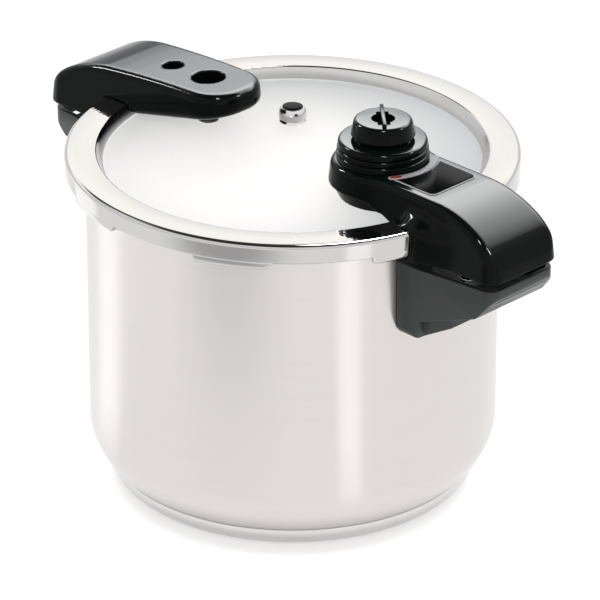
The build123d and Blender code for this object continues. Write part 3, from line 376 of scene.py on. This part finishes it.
slate_plastic = moulded_plastic(
    "satin_slate_plastic", dark=(0.014, 0.019, 0.018), light=(0.023, 0.029, 0.028),
    rough=0.36, spread=0.10, tooth=0.10, ior=1.40,
)
tray_edge = 0.0008
front_tray = eased("pot_handle", "front_tray", tray_edge)
dress(front_tray, "pot", "pot_handle_plastic", slate_plastic, "pot_handle")
rear_tray = eased("pot_helper_handle", "rear_tray", tray_edge)
dress(rear_tray, "pot", "pot_handle_plastic", slate_plastic, "pot_helper_handle")

# Rack: a loose round of aluminium sheet, pierced with round holes. It stands on four feet on the
# floor of the pot, keeps jars off the heat, and lifts straight out.
rack_aluminium = plain_metal(
    "rack_aluminium", dark=(0.58, 0.58, 0.59), light=(0.72, 0.72, 0.73),
    rough=0.34, spread=0.14, scale=60.0,
)
rack = eased("cooking_rack", "rack", machined_edge)
dress(rack, "rack", "rack_aluminium", rack_aluminium, "cooking_rack")

# Sealing ring: a black rubber channel, moulded in one loop and open towards the axis. It lies
# loose in the lid's rim, and its lower lip bears on the rim of the pot.
seal_outer = 0.1273
seal_top = 0.1990
seal_low = 0.1889
seal_round = 0.0005
web_inner = 0.1231
upper_lip = 0.1141
lower_lip = 0.1170
lip_tip = 0.0013
lip_base = 0.0026
lip_chamfer = (0.0004, 0.0001)
seal_section = [(upper_lip, seal_top - lip_chamfer[1]), (upper_lip + lip_chamfer[0], seal_top)]
seal_section += [(seal_outer - seal_round, seal_top), (seal_outer, seal_top - seal_round)]
seal_section += [(seal_outer, seal_low + seal_round), (seal_outer - seal_round, seal_low)]
seal_section += [(lower_lip + seal_round, seal_low), (lower_lip, seal_low + seal_round)]
seal_section += [(lower_lip, seal_low + lip_tip), (web_inner, seal_low + lip_base)]
seal_section += [(web_inner, seal_top - lip_base), (upper_lip, seal_top - lip_tip), seal_section[0]]
seal = turned("seal", seal_section, steps=160)
seal_rubber, rubber_surface, rubber_place = new_finish("seal_rubber", {"IOR": 1.4})
bloom = cloud(rubber_place, scale=45.0, detail=5.0)
rubber_tooth = cloud(rubber_place, scale=1100.0, detail=2.0)
feed(rubber_surface, "Base Color", shade_between(bloom, (0.010, 0.010, 0.010), (0.026, 0.026, 0.025)))
feed(rubber_surface, "Roughness", 0.52 + 0.2 * (bloom - 0.5))
feed(rubber_surface, "Normal", raised(rubber_tooth, strength=0.15, depth=0.0001))
dress(seal, "seal", "seal_rubber", seal_rubber, "sealing_ring")

# Lid: pressed stainless sheet, with a low satin disc, a step up to a flat polished rim and a short
# skirt. Eight tongues, folded down and in from the skirt, lock it under the lugs of the pot.
lid_sheet = 0.0012
lid_top = 0.2005
lid_under = lid_top - lid_sheet
dome_peak = 0.1960
dome_radius = 2.8633
disc_edge_radius = 0.107
disc_edge_slope = 2.0
disc_rings = 24
step_foot = 0.1940
step_radius = 0.111
step_lean = math.degrees(math.atan2(lid_top - step_foot, step_radius - disc_edge_radius))
foot_round = 0.0010
foot_round_at = (0.10644, 0.1950)
brow_round = 0.0012
brow_round_at = (0.11167, lid_top - brow_round)
under_foot = (0.1079, 0.1931)
under_brow = (0.1118, lid_under - 0.0006)
under_rim_inner = 0.1128
rim_round = 0.0026
rim_inner_round = 0.0008
skirt_outer = 0.12878
skirt_inner = 0.1276
skirt_low = 0.1898
skirt_break = 0.0003
skirt_inner_break = 0.0002
rim_bend_x = skirt_inner - rim_inner_round
rim_bend_z = lid_under - rim_inner_round


def dome(radius, sunk=0.0):
    """Height of the disc at a distance from the axis, on its face or sunk below it."""
    return dome_peak - dome_radius + math.sqrt((dome_radius - sunk) ** 2 - radius ** 2)


rings = [disc_edge_radius * step / disc_rings for step in range(disc_rings - 1)]
lid_section = [(radius, dome(radius)) for radius in rings]
lid_section += bow(*foot_round_at, foot_round, 270 + disc_edge_slope, 270 + step_lean, 6)
lid_section += bow(*brow_round_at, brow_round, 90 + step_lean, 90, 6)
lid_section += bow(skirt_outer - rim_round, lid_top - rim_round, rim_round, 90, 0, 10)
lid_section += [(skirt_outer, skirt_low + skirt_break), (skirt_outer - skirt_break, skirt_low)]
lid_section += [(skirt_inner + skirt_inner_break, skirt_low), (skirt_inner, skirt_low + skirt_break)]
lid_section += bow(rim_bend_x, rim_bend_z, rim_inner_round, 0, 90, 4)
lid_section += [(under_rim_inner, lid_under), under_brow, under_foot]
lid_section += [(disc_edge_radius, dome(disc_edge_radius, lid_sheet))]
lid_section += [(radius, dome(radius, lid_sheet)) for radius in reversed(rings)]
lid_parts = [turned("lid", lid_section, steps=240)]
tongue_low = 0.1851
tongue_inner = 0.1242
tongue_round = 0.0022
tongue_inner_round = 0.001
tongue_break = 0.0003
tongue_root = skirt_low + 0.0012
tongue_neck = skirt_low + 0.0001
tongue_bend_x = skirt_inner - tongue_inner_round
tongue_bend_z = tongue_low + lid_sheet + tongue_inner_round
lid_lug_span = 21.5
cut_end = math.radians(0.8)
folded_end = math.radians(3.4)
tongue_section = [(skirt_outer - tongue_break, tongue_root), (skirt_outer, tongue_neck)]
tongue_section += bow(skirt_outer - tongue_round, tongue_low + tongue_round, tongue_round, 0, -90, 8)
tongue_section += [(tongue_inner + tongue_break, tongue_low), (tongue_inner, tongue_low + tongue_break)]
tongue_section += [(tongue_inner, tongue_low + lid_sheet)]
tongue_section += bow(tongue_bend_x, tongue_bend_z, tongue_inner_round, -90, 0, 4)
tongue_section += [(skirt_inner, tongue_root), tongue_section[0]]


def eased_step(value, low, high):
    """A smooth step from 0 at low to 1 at high."""
    share = min(1.0, max(0.0, (value - low) / (high - low)))
    return share * share * (3 - 2 * share)


for index in range(lug_count):
    start = lug_centre + lug_pitch * index - lid_lug_span / 2
    tongue = turned(f"tongue_{index}", tongue_section, steps=96, first=start, sweep=lid_lug_span)
    for spot in tongue.data.vertices:
        along = (math.atan2(spot.co.y, spot.co.x) - math.radians(start)) % math.tau
        if along > math.pi:
            along = 0.0
        left = math.radians(lid_lug_span) - along
        round_cut = math.sqrt(max(0.0, 1 - (1 - min(1.0, along / cut_end)) ** 2))
        drop = min(round_cut, eased_step(left, 0.0, folded_end))
        spot.co.z = tongue_root + (spot.co.z - tongue_root) * drop
    lid_parts.append(tongue)
lid = joined(lid_parts)


def ramped(value, low, high, first=0.0, last=1.0):
    """A smooth step of a wire's value, from first at low to last at high."""
    sockets = {"Value": value, "From Min": low, "From Max": high, "To Min": first, "To Max": last}
    return value.node("ShaderNodeMapRange", {"interpolation_type": "SMOOTHSTEP"}, sockets)


polish_start = 0.1062
polish_full = 0.1106
disc_rough = 0.74
rim_rough = 0.07
lid_spread = 0.04
lid_steel, lid_surface, lid_place = new_finish("steel_lid", {"Metallic": 1.0})
lid_fine = cloud(round_grain(lid_place), scale=1.0, detail=2.0)
lid_marks = cloud(lid_place, scale=14.0, detail=4.0)
polished = ramped(from_axis(lid_place), polish_start, polish_full)
lid_grain = lid_fine * 0.6 + lid_marks * 0.4
disc_tone = shade_between(lid_grain, dark=(0.56, 0.55, 0.535), light=(0.62, 0.61, 0.595))
rim_tone = shade_between(lid_grain, dark=(0.50, 0.49, 0.475), light=(0.57, 0.56, 0.545))
lid_rough = disc_rough - (disc_rough - rim_rough) * polished
lid_rough = lid_rough + lid_spread * (lid_fine - 0.5) + lid_spread * (lid_marks - 0.5)
feed(lid_surface, "Base Color", mixed(polished, disc_tone, rim_tone))
feed(lid_surface, "Roughness", lid_rough)
feed(lid_surface, "Normal", raised(lid_fine, strength=0.03, depth=0.0001))
dress(lid, "lid", "lid_steel", lid_steel, "lid_shell")

# Vent pipe: a turned steel nipple that leads steam up through the lid. A nut inside the lid draws
# it down on a rubber washer, and like washers seal the handle's screws.
fitting_steel = plain_metal(
    "turned_steel", dark=(0.58, 0.57, 0.56), light=(0.74, 0.73, 0.72),
    rough=0.16, spread=0.06, scale=150.0,
)
for node in ("vent_pipe", "vent_pipe_nut"):
    fitting = eased(node, f"{node}_turned", machined_edge)
    dress(fitting, "lid", "fitting_steel", fitting_steel, node)
paint(seal_rubber, "vent_pipe_washer", "lid_handle_washers")

# Upper front handle: glossy black moulding in two pieces, a round base on the disc and a long arched
# shell over it that spreads at its root to straddle the lid's rim. Two screws hold it from inside.
gloss_black = moulded_plastic(
    "gloss_black_plastic", dark=(0.0006, 0.0015, 0.0012), light=(0.0011, 0.0024, 0.0019),
    rough=0.09, spread=0.04, tooth=0.02, ior=1.16,
)
paint(screw_steel, "lid_handle_screws")


def moulded(node, name, grain, passes):
    """A copy of a moulding, re-skinned in even faces and eased until its edges are round."""
    piece = copied(node, name)
    skin = piece.modifiers.new("skin", "REMESH")
    skin.mode = "VOXEL"
    skin.voxel_size = grain
    bpy.ops.object.modifier_apply(modifier="skin")
    ease = piece.modifiers.new("ease", "SMOOTH")
    ease.factor = 0.5
    ease.iterations = passes
    bpy.ops.object.modifier_apply(modifier="ease")
    bpy.ops.object.shade_smooth()
    return piece


handle_base = moulded("lid_handle_base", "handle_base", grain=0.0005, passes=5)
dress(handle_base, "lid", "lid_handle_plastic", gloss_black, "lid_handle_base")
handle = moulded("lid_handle", "handle", grain=0.0006, passes=10)


def lid_face(reach):
    """Height of the lid's upper face at a distance from the axis."""
    climb = min(1.0, max(0.0, (reach - disc_edge_radius) / (step_radius - disc_edge_radius)))
    return step_foot + climb * (lid_top - step_foot)


handle_top = 0.2175
knee_start = 0.130
knee_length = 0.0345
knee_fall = 0.0095


def crown(x):
    """Height of the handle's top along its length: level, then falling away to the knee."""
    return handle_top - knee_fall * (max(0.0, x - knee_start) / knee_length) ** 2


soft_blend = 0.004
crown_kept = 0.0055
lid_gap = 0.001


def softened(piece, low, high, passes):
    """Ease one region of a moulding further, so that its steps run into each other."""
    region = piece.vertex_groups.new(name="soft_region")
    for spot in piece.data.vertices:
        inside = min(min(spot.co[axis] - low[axis], high[axis] - spot.co[axis]) for axis in range(3))
        inside = min(inside, crown(spot.co.x) - crown_kept - spot.co.z)
        reach = math.hypot(spot.co.x, spot.co.y)
        off_lid = max(reach - skirt_outer, spot.co.z - lid_face(reach)) - lid_gap
        weight = min(1.0, inside / soft_blend, off_lid / (2 * soft_blend))
        if weight > 0:
            region.add([spot.index], weight, "REPLACE")
    bpy.ops.object.select_all(action="DESELECT")
    piece.select_set(True)
    bpy.context.view_layer.objects.active = piece
    ease = piece.modifiers.new("soft_region", "SMOOTH")
    ease.factor = 0.5
    ease.iterations = passes
    ease.vertex_group = "soft_region"
    bpy.ops.object.modifier_apply(modifier="soft_region")
    piece.vertex_groups.clear()


handle_seam = 0.2035
seam_band_low = handle_seam + 0.0005
seam_band_high = handle_seam + 0.010
root_low = 0.1952
root_start = 0.076
root_full = 0.1035
root_end = 0.116
root_gap = 0.0003
for spot in handle.data.vertices:
    near_seam = 1 - eased_step(spot.co.z, seam_band_low, seam_band_high)
    at_root = eased_step(spot.co.x, root_start, root_full) - eased_step(spot.co.x, root_full, root_end)
    stop = min(spot.co.z, lid_face(math.hypot(spot.co.x, spot.co.y)) + root_gap)
    spot.co.z = max(stop, spot.co.z - (handle_seam - root_low) * at_root * near_seam)
flare_start = 0.092
flare_end = 0.164
flare_inner = 0.017
flare_outer = 0.045
flare_low = 0.184
flare_high = 0.2125
flare_passes = 300
for low_y, high_y in ((flare_inner, flare_outer), (-flare_outer, -flare_inner)):
    softened(handle, (flare_start, low_y, flare_low), (flare_end, high_y, flare_high), flare_passes)
dress(handle, "lid", "lid_handle_plastic", gloss_black, "lid_handle")

# Label: a thin bright plate glued on the handle's top, and a plain black plastic panel glued on it.
# The panel is a little smaller, so that the plate shows round it as a frame.
foil_edge = 0.0001
silver = plain_metal(
    "silver_print", dark=(0.66, 0.66, 0.68), light=(0.80, 0.80, 0.82), rough=0.40, spread=0.08,
    scale=300.0, metallic=0.25,
)
label_border = eased("label_frame", "label_border", foil_edge)
dress(label_border, "lid", "label_silver", silver, "label_frame")
panel_black = moulded_plastic(
    "panel_black", dark=(0.0030, 0.0042, 0.0042), light=(0.0050, 0.0064, 0.0064),
    rough=0.22, spread=0.06, tooth=0.02, ior=1.16,
)
label_plate = eased("label_panel", "label_plate", foil_edge)
dress(label_plate, "lid", "label_black", panel_black, "label_panel")

# Selector: a thin silver band laid on the handle's top, part of the way round the knob, with a short
# red mark on one end. Turning the knob's blade along it sets the pressure.
selector_band = eased("selector_arc", "selector_band", foil_edge)
dress(selector_band, "lid", "label_silver", silver, "selector_arc")
mark_red = moulded_plastic(
    "mark_red", dark=(0.42, 0.012, 0.010), light=(0.56, 0.022, 0.016),
    rough=0.28, spread=0.06, tooth=0.03, ior=1.45,
)
selector_tick = eased("selector_mark", "selector_tick", foil_edge)
dress(selector_tick, "lid", "mark_red", mark_red, "selector_mark")

# Collar and ring: two round mouldings of the same black plastic, a thick one and a thin one. They
# are stacked on the handle's top, and the hub of the knob goes down through both.
knob_axis = (0.0705, 0.0)
hub_bore = 0.01408
collar_radius = 0.0260
collar_top = 0.2215
collar_round = 0.0010
collar_foot_break = 0.0004
collar_section = [(hub_bore, handle_top), (collar_radius - collar_foot_break, handle_top)]
collar_section += [(collar_radius, handle_top + collar_foot_break)]
collar_section += bow(collar_radius - collar_round, collar_top - collar_round, collar_round, 0, 90, 6)
collar_section += [(hub_bore, collar_top), (hub_bore, handle_top)]
collar = turned("collar", collar_section, steps=96, axis=knob_axis)
dress(collar, "lid", "lid_handle_plastic", gloss_black, "knob_collar")
ring_radius = 0.0255
ring_top = 0.2249
ring_round = 0.00085
ring_section = [(hub_bore, collar_top)]
ring_section += bow(ring_radius - ring_round, collar_top + ring_round, ring_round, -90, 0, 5)
ring_section += bow(ring_radius - ring_round, ring_top - ring_round, ring_round, 0, 90, 5)
ring_section += [(hub_bore, ring_top), (hub_bore, collar_top)]
knob_ring = turned("ring", ring_section, steps=96, axis=knob_axis)
dress(knob_ring, "lid", "knob_plastic", gloss_black, "knob_ring")

# Valve: a steel poppet on the pipe's mouth with a coiled spring over its stem. The spring's upper end
# bears on the knob's roof, so in the cooker it shortens as the poppet lifts; here it is drawn at one
# length.
poppet = eased("valve_poppet", "poppet", machined_edge)
dress(poppet, "valve", "fitting_steel", fitting_steel, "valve_poppet")
spring = copied("valve_spring", "spring")
bpy.ops.object.shade_smooth_by_angle(angle=cut_crease)
dress(spring, "valve", "fitting_steel", fitting_steel, "valve_spring")
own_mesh(spring)

# Regulator knob: glossy black moulding with a broad flange, a waist and a tapered grip. A cross-shaped
# pocket in its top holds a thin upright blade, and a clip under the handle's roof keeps it in.
knob_top = 0.2407
grip_radius = 0.0141
grip_round = 0.0025
grip_taper = 12
grip_low = 0.2312
grip_foot_radius = 0.0171
grip_foot_round = 0.0008
waist_radius = 0.0158
waist_top_break = 0.0002
waist_foot_reach = 0.0004
waist_foot_rise = 0.0003
flange_radius = 0.0250
flange_top = 0.2292
flange_round = 0.0020
flange_under = 0.2252
flange_break = 0.0003
hub_radius = 0.0140
hub_low = 0.2078
hub_break = 0.0002
clip_groove_radius = 0.0130
clip_groove_top = 0.2102
clip_groove_low = 0.2090
chamber_radius = 0.0090
chamber_roof = 0.2317
knob_section = [(0, knob_top)]
knob_section += bow(grip_radius, knob_top - grip_round, grip_round, 90, grip_taper, 8)
knob_section += bow(grip_foot_radius, grip_low + grip_foot_round, grip_foot_round, grip_taper, -90, 6)
knob_section += [(waist_radius + waist_top_break, grip_low), (waist_radius, grip_low - waist_top_break)]
knob_section += [(waist_radius, flange_top + waist_foot_rise)]
knob_section += [(waist_radius + waist_foot_reach, flange_top)]
knob_section += bow(flange_radius - flange_round, flange_top - flange_round, flange_round, 90, 0, 8)
knob_section += [(flange_radius, flange_under + flange_break)]
knob_section += [(flange_radius - flange_break, flange_under)]
knob_section += [(hub_radius, flange_under), (hub_radius, clip_groove_top)]
knob_section += [(clip_groove_radius, clip_groove_top), (clip_groove_radius, clip_groove_low)]
knob_section += [(hub_radius, clip_groove_low), (hub_radius, hub_low + hub_break)]
knob_section += [(hub_radius - hub_break, hub_low), (chamber_radius, hub_low)]
knob_section += [(chamber_radius, chamber_roof), (0, chamber_roof)]
knob = turned("knob", knob_section, steps=128, axis=knob_axis)
knob_crown = (*knob_axis, knob_top)
well_radius = 0.0067
slot_length = 0.018
slot_width = 0.007
pocket_depth = 0.0045
blade_turn = math.radians(-42.0)
bpy.ops.object.select_all(action="DESELECT")
bpy.ops.mesh.primitive_cylinder_add(
    vertices=64, radius=well_radius, depth=2 * pocket_depth, location=knob_crown
)
well = bpy.context.object
bpy.ops.object.select_all(action="DESELECT")
bpy.ops.mesh.primitive_cube_add(size=1, location=knob_crown, rotation=(0, 0, blade_turn))
slot_cut = bpy.context.object
slot_cut.scale = (slot_length, slot_width, 2 * pocket_depth)
bpy.ops.object.transform_apply(location=True, rotation=True, scale=True)
for cutter in (well, slot_cut):
    bpy.ops.object.select_all(action="DESELECT")
    knob.select_set(True)
    bpy.context.view_layer.objects.active = knob
    pocket = knob.modifiers.new("pocket", "BOOLEAN")
    pocket.operation = "DIFFERENCE"
    pocket.solver = "EXACT"
    pocket.object = cutter
    bpy.ops.object.modifier_apply(modifier="pocket")
    bpy.data.objects.remove(cutter)
bpy.ops.object.shade_smooth_by_angle(angle=turned_crease)
dress(knob, "regulator", "knob_plastic", gloss_black, "regulator_knob")
blade = eased("knob_grip_bar", "blade", width=0.0005)
dress(blade, "regulator", "knob_plastic", gloss_black, "knob_grip_bar")
paint(strap_steel, "knob_clip")

# Overpressure plug: a black rubber stopper that blows out when the vent is blocked. A bright turned
# steel retainer holds it, with a beaded domed wall and a shank riveted through the disc.
plug_axis = (-0.03189, 0.03189)
plug_seat = 0.1958
head_under = plug_seat + 0.0078
bore_radius = 0.00466
shank_radius = 0.0056
shank_low = plug_seat - 0.004
foot_radius = 0.0077
foot_break = 0.0003
neck_radius = 0.0067
neck_height = plug_seat + 0.0018
bead_radius = 0.0070
bead_height = plug_seat + 0.0028
bead_round = 0.0010
wall_centre = 0.00192
wall_height = plug_seat + 0.00477
wall_round = 0.00609
wall_turn = 40
mouth_radius = 0.00628
mouth_height = plug_seat + 0.00843
mouth_round = 0.0004
mouth_inner = 0.00564
retainer_section = [(bore_radius, shank_low), (shank_radius, shank_low), (shank_radius, plug_seat)]
retainer_section += [(foot_radius - foot_break, plug_seat), (foot_radius, plug_seat + foot_break)]
retainer_section += [(neck_radius, neck_height)]
retainer_section += bow(bead_radius, bead_height, bead_round, -100, 0, 6)
retainer_section += bow(wall_centre, wall_height, wall_round, 0, wall_turn, 10)
retainer_section += bow(mouth_radius, mouth_height, mouth_round, wall_turn, 135, 5)
retainer_section += [(mouth_inner, head_under), (bore_radius, head_under), (bore_radius, shank_low)]
retainer = turned("retainer", retainer_section, steps=64, axis=plug_axis)
dress(retainer, "lid", "fitting_steel", fitting_steel, "plug_retainer")
stem_radius = 0.0046
stem_low = plug_seat - 0.0054
stem_break = 0.0003
head_radius = 0.0056
head_round = 0.0014
head_top = plug_seat + 0.0094
plug_section = [(0, stem_low), (stem_radius - stem_break, stem_low)]
plug_section += [(stem_radius, stem_low + stem_break), (stem_radius, head_under)]
plug_section += [(head_radius, head_under)]
plug_section += bow(head_radius - head_round, head_top - head_round, head_round, 0, 90, 6)
plug_section += [(0, head_top)]
plug = turned("plug", plug_section, steps=64, axis=plug_axis)
plug_rubber = moulded_plastic(
    "plug_rubber", dark=(0.004, 0.004, 0.004), light=(0.009, 0.009, 0.009),
    rough=0.34, spread=0.10, tooth=0.06, ior=1.22,
)
dress(plug, "lid", "seal_rubber", plug_rubber, "overpressure_plug")

# Upper rear handle: glossy black wing on a welded stud. Its screw sits in the small window, and the
# cover lock shows through the large one.
wing = moulded("lid_helper_handle", "wing", grain=0.0006, passes=11)
dress(wing, "lid", "lid_handle_plastic", gloss_black, "lid_helper_handle")
# Steel under the wing is painted dark as shade: the stud, the wing's screw and the cover lock take it,
# so that they stay hidden in the wing's shadow.
shade_darkened_steel = plain_metal(
    "shade_darkened_steel", dark=(0.10, 0.10, 0.10), light=(0.16, 0.16, 0.16),
    rough=0.35, spread=0.10, scale=200.0,
)
stud = eased("lid_helper_stud", "stud", machined_edge)
dress(stud, "lid", "bracket_steel", shade_darkened_steel, "lid_helper_stud")
wing_screw = eased("lid_helper_screw", "wing_screw", machined_edge)
dress(wing_screw, "lid", "screw_steel", shade_darkened_steel, "lid_helper_screw")

# Cover lock: a turned steel pin that slides in a bush fixed in the lid. A rubber seal on its lower
# end stops the steam, and pressure lifts the pin so that the lid can't be turned.
# The pin and its bush take the steel painted dark as shade under the wing.
lock_bush = eased("lock_bushing", "lock_bush", machined_edge)
dress(lock_bush, "lid", "fitting_steel", shade_darkened_steel, "lock_bushing")
lock_pin = eased("lock_pin", "lock_pin_turned", machined_edge)
dress(lock_pin, "lock", "fitting_steel", shade_darkened_steel, "lock_pin")
paint(seal_rubber, "lock_pin_seal")

# Table and studio: a white sheet that glows under the cooker, and a pale room round it. Its glow holds
# painted light and shade: the sheet is dim in front, outside the picture, two wedges on it are
# brighter, and a painted contact shadow rings the foot. The steel wall mirrors the dim place as a grey
# patch and the wedges as tall highlights.
sheet_size = 14.0
sheet_drop = 0.0002
bpy.ops.object.select_all(action="DESELECT")
bpy.ops.mesh.primitive_plane_add(size=sheet_size, location=(0, 0, -sheet_drop))
floor = bpy.context.object
floor.name = "floor"
paper, paper_surface, paper_place = new_finish(
    "white_paper", {"Roughness": 0.9, "Specular IOR Level": 0.0, "Emission Strength": 0.755}
)


def against(place, operation, vector):
    """One number from two vectors, such as their distance."""
    return place.node("ShaderNodeVectorMath", {"operation": operation}, {0: place, 1: vector}, "Value")


def wedge(turn, core, edge, gain):
    """A painted wedge of light on the sheet: full out to the core angle, gone at the edge angle."""
    return ramped(turn.maths("ABSOLUTE", turn), core, edge, gain, 0.0)


away_from_eye = (-0.707, 0.707, 0.0)
dim_spot = (0.17, -0.62, 0.0)
foot = (0.006, -0.0075, 0.0)
left_start = (-0.0111, -0.1073)
left_angle = 0.143
right_start = (0.0477, -0.0441)
right_angle = 0.220
paper_x, paper_y = split(paper_place, "XY")
left_turn = paper_x.maths("ARCTAN2", paper_y - left_start[1], left_start[0] - paper_x) + left_angle
right_turn = paper_x.maths("ARCTAN2", paper_y - right_start[1], paper_x - right_start[0]) + right_angle
# Two wedges of painted light on the sheet, which the wall mirrors as tall highlights.
left_wedge = wedge(left_turn, core=0.15, edge=0.27, gain=0.56)
right_wedge = wedge(right_turn, core=0.07, edge=0.15, gain=0.46)
beside = against(paper_place, "DISTANCE", foot)
painted_wedges = (left_wedge + right_wedge) * ramped(beside, low=0.14, high=0.20)
# A painted contact shadow round the cooker's foot: the sheet's glow falls to half next to it.
painted_foot_shadow = ramped(beside, low=0.096, high=0.114, first=0.50)
from_dim_spot = against(paper_place, "DISTANCE", dim_spot)
far_side = against(paper_place, "DOT_PRODUCT", away_from_eye)
# Painted shade: the sheet is dim round a spot in front, outside the picture, and a little darker on its
# far side.
painted_lighting = ramped(from_dim_spot, low=0.10, high=0.38, first=0.50)
painted_lighting = painted_lighting * ramped(far_side, low=0.0, high=0.4, first=1.0, last=0.92)
fibre = cloud(paper_place, scale=3.0)
black = (0.0, 0.0, 0.0)
paper_white = (0.78, 0.78, 0.78)
glow_limit = 2.0
glow = (painted_lighting * painted_foot_shadow + painted_wedges) * (1 / glow_limit)
feed(paper_surface, "Base Color", shade_between(painted_lighting - 0.03 * fibre, black, paper_white))
feed(paper_surface, "Emission Color", shade_between(glow, black, (glow_limit, glow_limit, glow_limit)))
floor.data.materials.append(paper)

world = bpy.data.worlds.new("studio")
bpy.context.scene.world = world
world.use_nodes = True
sky = Wire(world.node_tree).node("ShaderNodeTexCoord", {}, {}, "Generated")
height = sky.node("ShaderNodeSeparateXYZ", {}, {0: sky}, "Z")
behind = ramped(against(sky, "DOT_PRODUCT", away_from_eye), low=0.30, high=0.65)


def grey(level):
    """A plain grey of the room."""
    return (level, level, level, 1)


warm_band = (1.70, 1.67, 1.62, 1)
front_stops = [(0.0, grey(1.0)), (0.35, grey(1.0)), (0.70, grey(1.20))]
front_stops += [(0.84, grey(0.06)), (1.0, grey(0.04))]
back_stops = [(0.0, (0.86, 0.88, 0.92, 1)), (0.28, (1.00, 1.03, 1.08, 1))]
back_stops += [(0.44, warm_band), (0.50, warm_band), (0.58, grey(0.08)), (1.0, grey(0.04))]
front_sky = height.node("ShaderNodeValToRGB", {"stops": front_stops}, {0: height})
back_sky = height.node("ShaderNodeValToRGB", {"stops": back_stops}, {0: height})
feed(world.node_tree.nodes["Background"], "Color", mixed(behind, front_sky, back_sky))

# Lamps: soft panels hung round the cooker, above its lid. Five light only the glossy black pieces,
# where they show as highlights, and a sixth and a soft spot light only the lid.
cooker_middle = (0.0, 0.0, 0.15)


def hung(light, azimuth, elevation, distance, target=cooker_middle):
    """Hang a light that looks at a point from a direction, in degrees round from -Y towards +X."""
    turn = math.radians(azimuth)
    rise = math.radians(elevation)
    lamp = bpy.data.objects.new(light.name, light)
    bpy.context.scene.collection.objects.link(lamp)
    lamp.location = (
        target[0] + distance * math.cos(rise) * math.sin(turn),
        target[1] - distance * math.cos(rise) * math.cos(turn),
        target[2] + distance * math.sin(rise),
    )
    lamp.rotation_euler = (math.pi / 2 - rise, 0, turn)
    lamp.visible_camera = False
    return lamp


def soft_panel(name, azimuth, elevation, distance, width, tall, watts, tint=(1, 1, 1), feathered=False):
    """A rectangular soft light that looks at the cooker, even or fading out to its edges."""
    light = bpy.data.lights.new(name, "AREA")
    light.shape = "RECTANGLE"
    light.size = width
    light.size_y = tall
    light.energy = watts
    light.color = tint
    if feathered:
        light.use_nodes = True
        spread = Wire(light.node_tree).node("ShaderNodeNewGeometry", {}, {}, "Parametric")
        across, along = split(spread, "XY")
        fade = 16 * (across * (1 - across)) * (along * (1 - along))
        feed(light.node_tree.nodes["Emission"], "Strength", fade)
    return hung(light, azimuth, elevation, distance)


glossy = bpy.data.collections.new("glossy_pieces")
for piece in (handle, handle_base, wing, collar, knob_ring, knob, blade):
    glossy.objects.link(piece)
cool = (0.94, 0.98, 1.0)
gloss_panels = [
    soft_panel("gloss_sweep", 195, 44, 2.4, width=4.4, tall=1.4, watts=540, feathered=True),
    soft_panel("gloss_back", 228, 24, 2.4, width=3.0, tall=0.9, watts=54, tint=cool, feathered=True),
    soft_panel("gloss_spark", 50, 62, 2.2, width=0.25, tall=0.25, watts=40),
    soft_panel("gloss_left", -70, 35, 2.2, width=0.15, tall=0.6, watts=45),
    soft_panel("gloss_right", 130, 38, 2.2, width=0.15, tall=0.5, watts=30),
]
for panel in gloss_panels:
    panel.light_linking.receiver_collection = glossy
bright_lid = bpy.data.collections.new("bright_lid")
bright_lid.objects.link(lid)
lid_azimuth = 195
lid_elevation = 66
lid_distance = 2.0
lid_side = (lid_azimuth, lid_elevation, lid_distance)
spot_target = (-0.008, -0.034, dome_peak)
lid_spot = bpy.data.lights.new("lid_spot", "SPOT")
lid_spot.energy = 108
lid_spot.color = (1.0, 0.97, 0.92)
lid_spot.spot_size = math.radians(7.2)
lid_spot.spot_blend = 1.0
lid_spot.shadow_soft_size = 0.02
lid_lamps = [
    soft_panel("lid_panel", *lid_side, width=0.6, tall=0.6, watts=27, tint=(0.88, 0.93, 1.0)),
    hung(lid_spot, *lid_side, spot_target),
]
for lamp in lid_lamps:
    lamp.light_linking.receiver_collection = bright_lid
    lamp.light_linking.blocker_collection = bright_lid

# Camera: far off with a long lens, so that upright lines stay nearly parallel. It looks down from
# between the front handle and one side of the pot, and a small shift sets the frame.
eye_azimuth = math.radians(45.0)
eye_elevation = math.radians(26.75)
eye_distance = 3.0
eye_aim_height = 0.095
lens = bpy.data.cameras.new("eye")
lens.sensor_width = 36.0
lens.lens = 314.56
lens.shift_x = 0.0122
lens.shift_y = 0.0225
eye = bpy.data.objects.new("eye", lens)
bpy.context.scene.collection.objects.link(eye)
eye.location = (
    eye_distance * math.cos(eye_elevation) * math.sin(eye_azimuth),
    -eye_distance * math.cos(eye_elevation) * math.cos(eye_azimuth),
    eye_aim_height + eye_distance * math.sin(eye_elevation),
)
eye.rotation_euler = (math.pi / 2 - eye_elevation, 0, eye_azimuth)
bpy.context.scene.camera = eye
bpy.context.scene.view_settings.view_transform = "Standard"
